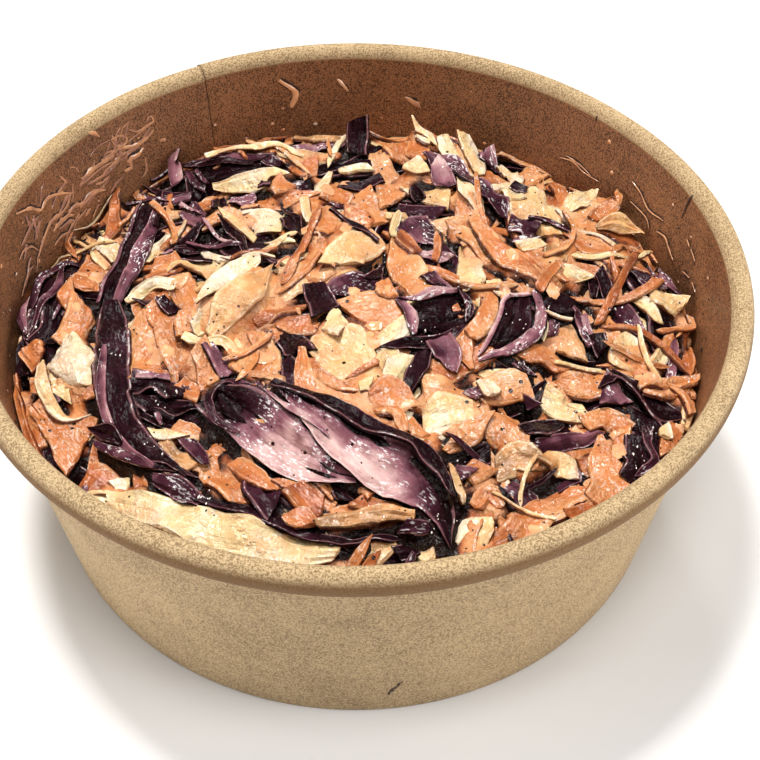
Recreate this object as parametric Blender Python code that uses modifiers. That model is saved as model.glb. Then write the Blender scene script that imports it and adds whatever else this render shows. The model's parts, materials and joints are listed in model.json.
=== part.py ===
"""Coleslaw in a round kraft-board salad bowl.

Three pieces: the bowl's wall, which is one strip of board with a curled rim and a
folded hem; its base disc, whose flange sits inside the hem; and the heap of slaw.
Metres, +Z up. The origin is the centre of the ring that the bowl stands on.
"""

import math
from dataclasses import dataclass

import bpy

# Driving dimensions, in metres.
RIM_DIAMETER = 0.150
FOOT_DIAMETER = 0.128
BOWL_HEIGHT = 0.0575
BOARD = 0.0005
GAP = 0.0003
CURL_WIDTH = 0.0043
CURL_HEIGHT = 0.0058
HEM_HEIGHT = 0.0055
SLAW_AT_WALL = 0.0365
SLAW_CROWN = 0.0085

# How finely the round shapes are cut.
TURNS = 72
CURL_STEPS = 13
HEAP_RINGS = 26

# The curl runs from the wall's inner side over the top to just short of the wall again.
CURL_START = math.radians(180)
CURL_END = math.radians(-118)

# Derived sizes.
CURL_CENTRE_R = (RIM_DIAMETER - CURL_WIDTH) / 2
CURL_CENTRE_Z = BOWL_HEIGHT - CURL_HEIGHT / 2
CURL_HALF_WIDTH = (CURL_WIDTH - BOARD) / 2
CURL_HALF_HEIGHT = (CURL_HEIGHT - BOARD) / 2
WALL_FOOT_R = (FOOT_DIAMETER - BOARD) / 2
WALL_FOOT_Z = BOARD / 2
WALL_TOP_R = CURL_CENTRE_R - CURL_HALF_WIDTH
WALL_TOP_Z = CURL_CENTRE_Z
WALL_SLOPE = (WALL_TOP_R - WALL_FOOT_R) / (WALL_TOP_Z - WALL_FOOT_Z)
LAYER_STEP = BOARD + GAP
HEM_TOP_Z = WALL_FOOT_Z + HEM_HEIGHT
DISC_Z = HEM_TOP_Z + LAYER_STEP
FLANGE_FOOT_Z = WALL_FOOT_Z + LAYER_STEP
SLAW_FLOOR_Z = DISC_Z + BOARD / 2 + GAP
SLAW_SIDE_GAP = BOARD / 2 + GAP


@dataclass(frozen=True)
class Ridge:
    """A shred or fold that is large enough to lift the heap's outline."""

    x: float
    y: float
    heading: float
    length: float
    width: float
    rise: float

    def height(self, x, y):
        """How far this ridge lifts the surface at x, y."""
        turn = math.radians(self.heading)
        along = (x - self.x) * math.cos(turn) + (y - self.y) * math.sin(turn)
        across = (y - self.y) * math.cos(turn) - (x - self.x) * math.sin(turn)
        u = 2 * abs(along) / self.length
        v = 2 * abs(across) / self.width
        if u >= 1 or v >= 1:
            return 0.0
        return self.rise * (1 - u**4) * (1 - v * v) ** 2


# The large shreds, each by its middle, the way it points in degrees, and its size.
RIDGES = (
    Ridge(-0.004, -0.034, -37, 0.056, 0.022, 0.0045),
    Ridge(-0.045, 0.006, 82, 0.078, 0.014, 0.0035),
    Ridge(-0.041, -0.030, -52, 0.040, 0.016, 0.0025),
    Ridge(-0.020, -0.051, -16, 0.062, 0.018, 0.0030),
    Ridge(0.017, 0.003, 10, 0.022, 0.020, 0.0050),
    Ridge(0.031, 0.000, 62, 0.030, 0.018, 0.0045),
    Ridge(0.029, 0.025, -52, 0.050, 0.014, 0.0040),
    Ridge(0.022, 0.040, -50, 0.034, 0.016, 0.0040),
    Ridge(-0.024, 0.004, 55, 0.030, 0.022, 0.0045),
    Ridge(-0.012, 0.054, 12, 0.050, 0.016, 0.0040),
    Ridge(-0.030, 0.050, -4, 0.036, 0.012, 0.0035),
    Ridge(0.018, 0.056, -62, 0.024, 0.024, 0.0035),
    Ridge(0.048, 0.022, -38, 0.038, 0.018, 0.0040),
    Ridge(0.052, 0.038, 42, 0.024, 0.016, 0.0055),
    Ridge(0.056, 0.006, -55, 0.030, 0.018, 0.0045),
    Ridge(0.054, -0.010, -60, 0.024, 0.018, 0.0035),
    Ridge(-0.060, 0.004, 84, 0.032, 0.014, 0.0035),
    Ridge(-0.054, -0.016, 100, 0.020, 0.020, 0.0030),
    Ridge(0.005, -0.022, -20, 0.036, 0.018, 0.0025),
    Ridge(0.052, -0.034, 62, 0.026, 0.014, 0.0030),
    Ridge(0.036, -0.048, 24, 0.034, 0.016, 0.0025),
    Ridge(-0.008, 0.024, -40, 0.030, 0.022, 0.0030),
    Ridge(-0.036, 0.024, 20, 0.024, 0.018, -0.0030),
    Ridge(-0.037, 0.042, 0, 0.020, 0.018, -0.0045),
)


def clear_scene():
    """Removes whatever objects the file starts with."""
    for obj in list(bpy.data.objects):
        bpy.data.objects.remove(obj, do_unlink=True)


def collection(name):
    """A new collection of the scene."""
    made = bpy.data.collections.new(name)
    bpy.context.scene.collection.children.link(made)
    return made


def material(name, colour, roughness):
    """A plain material of that colour."""
    made = bpy.data.materials.new(name)
    made.use_nodes = True
    shader = made.node_tree.nodes["Principled BSDF"]
    shader.inputs["Base Color"].default_value = (*colour, 1.0)
    shader.inputs["Roughness"].default_value = roughness
    shader.inputs["Metallic"].default_value = 0.0
    return made


def wall_radius(z):
    """Radius of the middle of the wall's board at height z."""
    return WALL_FOOT_R + WALL_SLOPE * (z - WALL_FOOT_Z)


def offset_path(path, distance):
    """The path moved sideways by distance, to its left, with mitred corners."""
    moved = []
    for i, (x, z) in enumerate(path):
        before = path[max(i - 1, 0)]
        after = path[min(i + 1, len(path) - 1)]
        normals = []
        for a, b in ((before, (x, z)), ((x, z), after)):
            length = math.dist(a, b)
            if length > 0:
                normals.append(((a[1] - b[1]) / length, (b[0] - a[0]) / length))
        sum_x = sum(n[0] for n in normals)
        sum_z = sum(n[1] for n in normals)
        reach = distance * len(normals) / (sum_x**2 + sum_z**2)
        moved.append((x + sum_x * reach, z + sum_z * reach))
    return moved


def board_outline(path):
    """The closed outline of a strip of board whose middle follows the path."""
    return offset_path(path, BOARD / 2) + offset_path(path, -BOARD / 2)[::-1]


def turned(name, profile, is_closed, home):
    """A shape turned round Z from its profile of radius and height."""
    mesh = bpy.data.meshes.new(name)
    count = len(profile)
    edges = [(i, i + 1) for i in range(count - 1)]
    if is_closed:
        edges.append((count - 1, 0))
    mesh.from_pydata([(r, 0.0, z) for r, z in profile], edges, [])
    obj = bpy.data.objects.new(name, mesh)
    home.objects.link(obj)
    screw = obj.modifiers.new("turn", "SCREW")
    screw.axis = "Z"
    screw.steps = TURNS
    screw.render_steps = TURNS
    screw.use_merge_vertices = True
    screw.merge_threshold = 0.00001
    return obj


def applied(obj, home):
    """The object with its modifiers worked into its mesh."""
    graph = bpy.context.evaluated_depsgraph_get()
    mesh = bpy.data.meshes.new_from_object(obj.evaluated_get(graph))
    name = obj.name
    bpy.data.objects.remove(obj, do_unlink=True)
    mesh.name = name
    made = bpy.data.objects.new(name, mesh)
    home.objects.link(made)
    return made


def curl_path():
    """The middle of the curled rim's board, from the wall's top round to its tucked end."""
    points = []
    for i in range(1, CURL_STEPS + 1):
        angle = CURL_START + (CURL_END - CURL_START) * i / CURL_STEPS
        radius = CURL_CENTRE_R + CURL_HALF_WIDTH * math.cos(angle)
        height = CURL_CENTRE_Z + CURL_HALF_HEIGHT * math.sin(angle)
        points.append((radius, height))
    return points


def build_wall(home):
    """The wall: hem, fold, cone and curled rim, in one strip of board."""
    fold_inset = 2 * LAYER_STEP
    hem = [
        (wall_radius(HEM_TOP_Z) - fold_inset, HEM_TOP_Z),
        (WALL_FOOT_R - fold_inset, WALL_FOOT_Z),
    ]
    cone = [(WALL_FOOT_R, WALL_FOOT_Z), (WALL_TOP_R, WALL_TOP_Z)]
    path = hem + cone + curl_path()
    return turned("bowl_wall", board_outline(path), True, home)


def build_base(home):
    """The base disc, with the flange that the hem grips."""
    flange_top = (wall_radius(DISC_Z) - LAYER_STEP, DISC_Z)
    flange_foot = (wall_radius(FLANGE_FOOT_Z) - LAYER_STEP, FLANGE_FOOT_Z)
    centre = (0.0, DISC_Z)
    return turned("bowl_base", board_outline([centre, flange_top, flange_foot]), False, home)


def heap_height(x, y):
    """Height of the slaw's surface at x, y: a low mound with its large shreds on it."""
    share = math.hypot(x, y) / wall_radius(SLAW_AT_WALL)
    mound = SLAW_AT_WALL + SLAW_CROWN * (1 - share**2)
    return mound + sum(ridge.height(x, y) for ridge in RIDGES)


def build_slaw(home):
    """The heap of slaw: turned to fill the bowl, then its top raised to the heap's surface."""
    edge_r = wall_radius(SLAW_AT_WALL) - SLAW_SIDE_GAP
    floor_r = wall_radius(SLAW_FLOOR_Z) - SLAW_SIDE_GAP
    top = [(edge_r * i / HEAP_RINGS, SLAW_AT_WALL) for i in range(HEAP_RINGS + 1)]
    profile = top + [(floor_r, SLAW_FLOOR_Z), (0.0, SLAW_FLOOR_Z)]
    heap = applied(turned("coleslaw", profile, False, home), home)
    for vertex in heap.data.vertices:
        x, y, z = vertex.co
        at_edge = math.hypot(x, y) > edge_r * (1 - 0.5 / HEAP_RINGS)
        if z > SLAW_AT_WALL - GAP and not at_edge:
            vertex.co.z = heap_height(x, y)
    return heap


def main():
    """Builds the bowl and its slaw."""
    clear_scene()
    home = collection("coleslaw_bowl")
    kraft = material("kraft_board", (0.50, 0.36, 0.20), 0.8)
    slaw = material("slaw", (0.72, 0.33, 0.16), 0.35)
    for obj, finish in (
        (build_wall(home), kraft),
        (build_base(home), kraft),
        (build_slaw(home), slaw),
    ):
        obj.data.materials.append(finish)
        obj.data.shade_smooth()


main()
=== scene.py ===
"""The looks of a bowl of coleslaw: its kraft-board bowl and the loose, dressed shreds in it.

Metres, +Z up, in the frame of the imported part, whose origin is the middle of the ring that
the bowl stands on. The bowl's wall and base are turned again, finely, from the sizes of the
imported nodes. The slaw is a low core with shreds laid on it one by one: each falls on what
lies below it, bends as far as it is limp, and lifts the surface for the next.
"""

from __future__ import annotations

import json
import logging
import math
from dataclasses import dataclass, field
from enum import Enum

import bpy
import numpy as np
from mathutils import Matrix, Vector
from mathutils.bvhtree import BVHTree
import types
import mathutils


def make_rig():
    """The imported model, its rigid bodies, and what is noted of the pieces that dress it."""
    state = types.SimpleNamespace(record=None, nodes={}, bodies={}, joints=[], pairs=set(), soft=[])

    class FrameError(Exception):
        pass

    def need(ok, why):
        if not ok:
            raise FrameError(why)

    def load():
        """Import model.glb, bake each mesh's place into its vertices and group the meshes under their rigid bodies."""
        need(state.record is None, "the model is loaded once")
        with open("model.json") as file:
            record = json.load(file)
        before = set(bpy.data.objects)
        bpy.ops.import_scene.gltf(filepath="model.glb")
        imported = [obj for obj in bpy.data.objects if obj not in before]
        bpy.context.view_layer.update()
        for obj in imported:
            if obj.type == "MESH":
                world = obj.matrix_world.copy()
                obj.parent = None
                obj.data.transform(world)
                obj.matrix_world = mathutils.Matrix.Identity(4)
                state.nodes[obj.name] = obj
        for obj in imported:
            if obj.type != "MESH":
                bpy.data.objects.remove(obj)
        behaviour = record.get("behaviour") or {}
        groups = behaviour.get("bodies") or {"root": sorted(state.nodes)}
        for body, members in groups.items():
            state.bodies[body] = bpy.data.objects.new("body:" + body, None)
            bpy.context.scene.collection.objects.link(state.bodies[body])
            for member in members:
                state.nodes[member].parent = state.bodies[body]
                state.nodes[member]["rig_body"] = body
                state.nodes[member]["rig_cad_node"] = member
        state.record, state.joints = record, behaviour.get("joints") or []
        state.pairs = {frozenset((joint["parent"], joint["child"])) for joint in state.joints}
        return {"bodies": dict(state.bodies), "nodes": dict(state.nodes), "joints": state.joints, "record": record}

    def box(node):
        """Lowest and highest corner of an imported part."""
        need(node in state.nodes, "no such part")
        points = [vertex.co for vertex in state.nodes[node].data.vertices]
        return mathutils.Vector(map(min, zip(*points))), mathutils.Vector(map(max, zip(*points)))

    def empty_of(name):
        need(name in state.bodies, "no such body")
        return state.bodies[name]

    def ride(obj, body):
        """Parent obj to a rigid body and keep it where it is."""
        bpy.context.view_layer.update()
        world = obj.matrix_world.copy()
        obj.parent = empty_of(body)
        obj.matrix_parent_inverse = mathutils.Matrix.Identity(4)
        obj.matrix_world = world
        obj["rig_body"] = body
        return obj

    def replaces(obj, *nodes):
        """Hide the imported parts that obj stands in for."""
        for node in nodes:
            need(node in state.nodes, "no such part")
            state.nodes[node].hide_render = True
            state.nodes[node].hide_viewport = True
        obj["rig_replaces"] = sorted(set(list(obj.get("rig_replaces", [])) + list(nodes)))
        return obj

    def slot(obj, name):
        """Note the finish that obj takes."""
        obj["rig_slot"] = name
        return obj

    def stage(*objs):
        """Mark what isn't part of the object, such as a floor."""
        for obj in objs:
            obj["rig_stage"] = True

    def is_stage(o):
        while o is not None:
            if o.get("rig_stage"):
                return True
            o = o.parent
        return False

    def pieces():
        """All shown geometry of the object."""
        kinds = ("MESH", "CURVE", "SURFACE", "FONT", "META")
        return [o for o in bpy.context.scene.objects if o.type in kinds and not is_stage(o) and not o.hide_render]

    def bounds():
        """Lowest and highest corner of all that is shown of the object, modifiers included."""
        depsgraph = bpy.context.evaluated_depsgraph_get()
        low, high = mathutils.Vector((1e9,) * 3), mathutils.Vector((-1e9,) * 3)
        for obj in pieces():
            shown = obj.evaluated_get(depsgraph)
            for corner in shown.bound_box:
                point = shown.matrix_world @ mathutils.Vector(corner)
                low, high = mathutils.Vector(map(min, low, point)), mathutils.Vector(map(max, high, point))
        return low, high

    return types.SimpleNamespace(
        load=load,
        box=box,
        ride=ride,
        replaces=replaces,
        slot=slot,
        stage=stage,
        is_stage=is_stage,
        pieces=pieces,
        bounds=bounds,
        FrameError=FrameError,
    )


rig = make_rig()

LOG = logging.getLogger("coleslaw")
MM = 0.001
SEED = 20
BODY = "root"
WALL_NODE = "bowl_wall"
BASE_NODE = "bowl_base"
SLAW_NODE = "coleslaw"
SIZE_FILE = "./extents.json"
# The layer in which a piece brings its own unwrapping.
UNWRAP_LAYER = "OFBake"

Colour = tuple[float, float, float]


class Vegetable(Enum):
    """What a shred is cut from. The value is the name of its piece and material slot."""

    CARROT = "carrot"
    RED_CABBAGE = "red_cabbage"
    WHITE_CABBAGE = "white_cabbage"


# --------------------------------------------------------------------------------------
# Shader building
# --------------------------------------------------------------------------------------


class Graph:
    """Adds nodes to a node tree and links them, so that a material reads top to bottom."""

    def __init__(self, tree: bpy.types.NodeTree) -> None:
        """Keeps the tree.

        Args:
            tree: The node tree to add to.
        """
        self.tree = tree

    def node(self, kind: str, **settings: object) -> bpy.types.Node:
        """A new node.

        Args:
            kind: The node's type name, without the leading "ShaderNode".
            settings: Properties of the node to set.

        Returns:
            The node.
        """
        made = self.tree.nodes.new("ShaderNode" + kind)
        for name, value in settings.items():
            setattr(made, name, value)
        return made

    def feed(self, socket: bpy.types.NodeSocket, value: object) -> None:
        """Links a socket into another, or sets the other's value.

        Args:
            socket: The input to feed.
            value: A socket, a number, or a tuple of numbers.
        """
        if isinstance(value, bpy.types.NodeSocket):
            self.tree.links.new(value, socket)
        elif isinstance(value, tuple) and len(value) == 3 and socket.type == "RGBA":
            socket.default_value = (*value, 1.0)
        else:
            socket.default_value = value

    def math(self, operation: str, a: object, b: object = 0.0, clamp: bool = False) -> bpy.types.NodeSocket:
        """A sum, product or other operation on two values.

        Args:
            operation: The Math node's operation.
            a: First value or socket.
            b: Second value or socket.
            clamp: Keep the result from 0 to 1.

        Returns:
            The result's socket.
        """
        made = self.node("Math", operation=operation, use_clamp=clamp)
        self.feed(made.inputs[0], a)
        self.feed(made.inputs[1], b)
        return made.outputs[0]

    def mix(self, share: object, a: object, b: object, blend: str = "MIX") -> bpy.types.NodeSocket:
        """A mix of two colours.

        Args:
            share: How much of b, 0 to 1.
            a: First colour.
            b: Second colour.
            blend: The Mix node's blend type.

        Returns:
            The mixed colour's socket.
        """
        made = self.node("Mix", data_type="RGBA", blend_type=blend, clamp_factor=True)
        self.feed(made.inputs["Factor"], share)
        self.feed(made.inputs[6], a)
        self.feed(made.inputs[7], b)
        return made.outputs[2]

    def band(self, value: object, low: float, high: float,
             to_low: float = 0.0, to_high: float = 1.0) -> bpy.types.NodeSocket:
        """A smooth step of a value from one range to another.

        Args:
            value: The value to map.
            low: Where the step starts.
            high: Where it ends.
            to_low: The result at the start.
            to_high: The result at the end.

        Returns:
            The result's socket.
        """
        made = self.node("MapRange", interpolation_type="SMOOTHSTEP")
        for socket, number in zip(made.inputs, (value, low, high, to_low, to_high)):
            self.feed(socket, number)
        return made.outputs[0]

    def noise(self, vector: object, scale: object, detail: float = 3.0,
              roughness: float = 0.55) -> bpy.types.NodeSocket:
        """Cloudy noise.

        Args:
            vector: Where to read it.
            scale: How fine it is, in features per unit.
            detail: Octaves.
            roughness: How strong the finer octaves are.

        Returns:
            The noise value's socket.
        """
        made = self.node("TexNoise")
        self.feed(made.inputs["Vector"], vector)
        self.feed(made.inputs["Scale"], scale)
        self.feed(made.inputs["Detail"], detail)
        self.feed(made.inputs["Roughness"], roughness)
        return made.outputs["Fac"]

    def ramp(self, value: object, stops: tuple[tuple[float, Colour], ...]) -> bpy.types.NodeSocket:
        """A colour read from a run of stops.

        Args:
            value: Where to read, 0 to 1.
            stops: Places and colours, in order.

        Returns:
            The colour's socket.
        """
        made = self.node("ValToRGB")
        elements = made.color_ramp.elements
        while len(elements) < len(stops):
            elements.new(0.5)
        for element, (place, colour) in zip(elements, stops):
            element.position = place
            element.color = (*colour, 1.0)
        self.feed(made.inputs[0], value)
        return made.outputs[0]

    def attribute(self, name: str, vector: bool = False) -> bpy.types.NodeSocket:
        """A value that the mesh carries.

        Args:
            name: The attribute's name.
            vector: Read it as a vector and not as a number.

        Returns:
            Its socket.
        """
        made = self.node("Attribute", attribute_name=name)
        return made.outputs["Vector" if vector else "Fac"]

    def stretched(self, vector: object, scale: tuple[float, float, float],
                  turn: float = 0.0) -> bpy.types.NodeSocket:
        """A vector scaled by axis and turned about Z.

        Args:
            vector: The vector.
            scale: Its scale on each axis.
            turn: The turn, in degrees.

        Returns:
            The new vector's socket.
        """
        made = self.node("Mapping")
        self.feed(made.inputs["Vector"], vector)
        made.inputs["Rotation"].default_value = (0.0, 0.0, math.radians(turn))
        made.inputs["Scale"].default_value = scale
        return made.outputs[0]

    def group(self, tree: bpy.types.NodeTree, **values: object) -> bpy.types.Node:
        """A node group placed here with its own values.

        Args:
            tree: The group.
            values: Its inputs by name, with _ for a space.

        Returns:
            The group node.
        """
        made = self.node("Group", node_tree=tree)
        for name, value in values.items():
            self.feed(made.inputs[name.replace("_", " ")], value)
        return made


def new_group(name: str, inputs: dict[str, tuple[str, object]], outputs: dict[str, str],
              ) -> tuple[bpy.types.NodeTree, Graph, bpy.types.Node, bpy.types.Node]:
    """An empty shader node group with named sockets.

    Args:
        name: The group's name.
        inputs: Each input's kind ("Vector", "Float" or "Color") and default value.
        outputs: Each output's kind.

    Returns:
        The group, a Graph that adds to it, its input node and its output node.
    """
    tree = bpy.data.node_groups.new(name, "ShaderNodeTree")
    for label, (kind, value) in inputs.items():
        socket = tree.interface.new_socket(label, in_out="INPUT", socket_type="NodeSocket" + kind)
        if value is not None:
            socket.default_value = value
    for label, kind in outputs.items():
        tree.interface.new_socket(label, in_out="OUTPUT", socket_type="NodeSocket" + kind)
    return tree, Graph(tree), tree.nodes.new("NodeGroupInput"), tree.nodes.new("NodeGroupOutput")


class Effects:
    """The node groups that several finishes use."""

    def __init__(self) -> None:
        """Builds each group once."""
        self.fibre = self._fibre()
        self.film = self._film()
        self.pepper = self._pepper()
        self.strands = self._strands()

    @staticmethod
    def _fibre() -> bpy.types.NodeTree:
        """Pressed paper fibre.

        Returns:
            A group that gives a shade from 0 to 1, the dark flecks and a height.
        """
        tree, g, start, end = new_group(
            "Paper fibre",
            {"Vector": ("Vector", None), "Fineness": ("Float", 1.0)},
            {"Shade": "Float", "Flecks": "Float", "Height": "Float"},
        )
        place = g.node("VectorMath", operation="SCALE")
        g.feed(place.inputs[0], start.outputs["Vector"])
        g.feed(place.inputs["Scale"], start.outputs["Fineness"])
        at = place.outputs[0]
        cloud = g.noise(at, 90.0, 3.0)
        grain = g.noise(at, 2900.0, 2.0, 0.8)
        first = g.noise(g.stretched(at, (2600.0, 620.0, 900.0), 24.0), 1.0, 2.0)
        second = g.noise(g.stretched(at, (620.0, 2600.0, 900.0), -31.0), 1.0, 2.0)
        strands = g.math("MAXIMUM", first, second)
        shade = g.math("ADD", g.math("MULTIPLY", cloud, 0.12), g.math("MULTIPLY", grain, 0.75))
        shade = g.math("ADD", shade, g.math("MULTIPLY", strands, 0.15))
        flecks = g.band(g.noise(at, 620.0, 2.0, 0.4), 0.68, 0.76)
        g.feed(end.inputs["Shade"], shade)
        g.feed(end.inputs["Flecks"], flecks)
        g.feed(end.inputs["Height"], g.math("ADD", g.math("MULTIPLY", strands, 0.6), grain))
        return tree

    @staticmethod
    def _film() -> bpy.types.NodeTree:
        """Creamy dressing that clings in patches.

        Returns:
            A group that gives the patches' cover from 0 to 1 and a height.
        """
        tree, g, start, end = new_group(
            "Dressing film",
            {"Vector": ("Vector", None), "Amount": ("Float", 0.5)},
            {"Cover": "Float", "Height": "Float"},
        )
        at = start.outputs["Vector"]
        broad = g.noise(at, 190.0, 4.0, 0.6)
        fine = g.noise(at, 900.0, 3.0, 0.6)
        level = g.math("ADD", g.math("MULTIPLY", broad, 0.72), g.math("MULTIPLY", fine, 0.28))
        edge = g.math("SUBTRACT", 1.0, start.outputs["Amount"])
        over = g.math("SUBTRACT", level, edge)
        cover = g.band(over, -0.05, 0.07)
        g.feed(end.inputs["Cover"], cover)
        g.feed(end.inputs["Height"], g.math("ADD", g.math("MULTIPLY", cover, 0.7), fine))
        return tree

    @staticmethod
    def _pepper() -> bpy.types.NodeTree:
        """Specks of ground pepper.

        Returns:
            A group that gives the specks' cover from 0 to 1.
        """
        tree, g, start, end = new_group(
            "Pepper specks",
            {"Vector": ("Vector", None), "Scale": ("Float", 480.0), "Share": ("Float", 0.12)},
            {"Cover": "Float"},
        )
        cells = g.node("TexVoronoi", feature="F1")
        g.feed(cells.inputs["Vector"], start.outputs["Vector"])
        g.feed(cells.inputs["Scale"], start.outputs["Scale"])
        chosen = g.node("SeparateColor")
        g.feed(chosen.inputs[0], cells.outputs["Color"])
        is_speck = g.math("LESS_THAN", chosen.outputs[0], start.outputs["Share"])
        size = g.math("ADD", g.math("MULTIPLY", chosen.outputs[1], 0.16), 0.06)
        inside = g.math("LESS_THAN", cells.outputs["Distance"], size)
        g.feed(end.inputs["Cover"], g.math("MULTIPLY", is_speck, inside))
        return tree

    @staticmethod
    def _strands() -> bpy.types.NodeTree:
        """Streaks and veins that run along a shred.

        Returns:
            A group that gives the streaks' shade from 0 to 1 and a height.
        """
        tree, g, start, end = new_group(
            "Leaf strands",
            {"Strip": ("Vector", None), "Along": ("Float", 120.0), "Across": ("Float", 1100.0)},
            {"Shade": "Float", "Height": "Float", "Glint": "Float"},
        )
        parts = g.node("SeparateXYZ")
        g.feed(parts.inputs[0], start.outputs["Strip"])
        joined = g.node("CombineXYZ")
        g.feed(joined.inputs[0], g.math("MULTIPLY", parts.outputs[0], start.outputs["Along"]))
        g.feed(joined.inputs[1], g.math("MULTIPLY", parts.outputs[1], start.outputs["Across"]))
        g.feed(joined.inputs[2], parts.outputs[2])
        streak = g.noise(joined.outputs[0], 1.0, 3.0, 0.6)
        g.feed(end.inputs["Shade"], g.band(streak, 0.32, 0.68))
        g.feed(end.inputs["Height"], streak)
        wet = g.node("VectorMath", operation="MULTIPLY")
        g.feed(wet.inputs[0], start.outputs["Strip"])
        wet.inputs[1].default_value = (1000.0, 2300.0, 1.0)
        sparkle = g.band(g.noise(wet.outputs[0], 1.0, 2.0, 0.6), 0.555, 0.60)
        patch = g.band(g.noise(start.outputs["Strip"], 190.0, 1.0, 0.5), 0.49, 0.57)
        g.feed(end.inputs["Glint"], g.math("MULTIPLY", sparkle, patch))
        return tree


def new_material(name: str) -> tuple[bpy.types.Material, Graph, bpy.types.Node]:
    """A material with nothing but a Principled shader.

    Args:
        name: The material's name.

    Returns:
        The material, a Graph that adds to it, and the shader node.
    """
    made = bpy.data.materials.new(name)
    made.use_nodes = True
    return made, Graph(made.node_tree), made.node_tree.nodes["Principled BSDF"]


@dataclass(frozen=True)
class KraftFinish:
    """Unbleached kraft board: dry outside; lined inside, darker and redder there, partly painted shade."""

    outside_light: Colour = (0.60, 0.428, 0.234)
    outside_dark: Colour = (0.265, 0.172, 0.080)
    # The inside's colours: the lined board's darker tone, deepened with painted shade of the bowl's hollow.
    shaded_inside_light: Colour = (0.355, 0.152, 0.062)
    shaded_inside_dark: Colour = (0.070, 0.024, 0.009)
    fleck: Colour = (0.16, 0.085, 0.04)
    # Painted shade in the seam's groove and in the crack.
    crease_shade: Colour = (0.045, 0.02, 0.01)
    shade: Colour = (0.165, 0.074, 0.018)
    nick_place: tuple[float, float] = (0.0085, 0.0095)
    nick_slope: float = 0.46
    nick_reach: float = 0.0030

    def build(self, effects: Effects) -> bpy.types.Material:
        """The material.

        Args:
            effects: The shared node groups.

        Returns:
            The material.
        """
        made, g, shader = new_material("kraft_board")
        at = g.node("TexCoord").outputs["Object"]
        place = g.node("SeparateXYZ")
        g.feed(place.inputs[0], at)
        fibre = g.group(effects.fibre, Vector=at)
        speckle = g.math("MULTIPLY", g.math("SUBTRACT", fibre.outputs["Shade"], 0.5), 2.2)
        inner = g.band(g.math("ADD", g.attribute("inside"), speckle), 0.38, 0.62)
        shade = g.band(fibre.outputs["Shade"], 0.45, 0.565)
        outside = g.mix(shade, self.outside_dark, self.outside_light)
        # Painted shade: the inside takes the darker, shaded colours.
        inside = g.mix(shade, self.shaded_inside_dark, self.shaded_inside_light)
        colour = g.mix(inner, outside, inside)
        colour = g.mix(g.math("MULTIPLY", fibre.outputs["Flecks"], 0.35), colour, self.fleck)
        colour = g.mix(g.math("MULTIPLY", g.attribute("shade"), 0.85), colour, self.shade)
        # A short crack in the board, low on the front, painted as a thin dark line of shade.
        over = g.math("SUBTRACT", place.outputs[2], self.nick_place[1])
        aside = g.math("SUBTRACT", g.math("SUBTRACT", place.outputs[0], self.nick_place[0]),
                       g.math("MULTIPLY", over, self.nick_slope))
        aside = g.math("ADD", aside, g.band(g.noise(at, 500.0), 0.3, 0.7, -0.0004, 0.0004))
        nick = g.math("MULTIPLY", g.band(g.math("ABSOLUTE", aside), 0.00038, 0.00018),
                      g.band(g.math("ABSOLUTE", over), self.nick_reach, 0.8 * self.nick_reach))
        nick = g.math("MULTIPLY", nick, g.math("LESS_THAN", place.outputs[1], -0.05))
        # Painted shade along the lap seam's groove and in the crack.
        colour = g.mix(g.math("MAXIMUM", g.attribute("crease_shade"), nick), colour, self.crease_shade)
        g.feed(shader.inputs["Base Color"], colour)
        rough = g.band(inner, 0.0, 1.0, 0.86, 0.5)
        g.feed(shader.inputs["Roughness"], rough)
        bump = g.node("Bump")
        bump.inputs["Strength"].default_value = 0.35
        bump.inputs["Distance"].default_value = 0.00012
        g.feed(bump.inputs["Height"], fibre.outputs["Height"])
        g.feed(shader.inputs["Normal"], bump.outputs[0])
        return made


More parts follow.
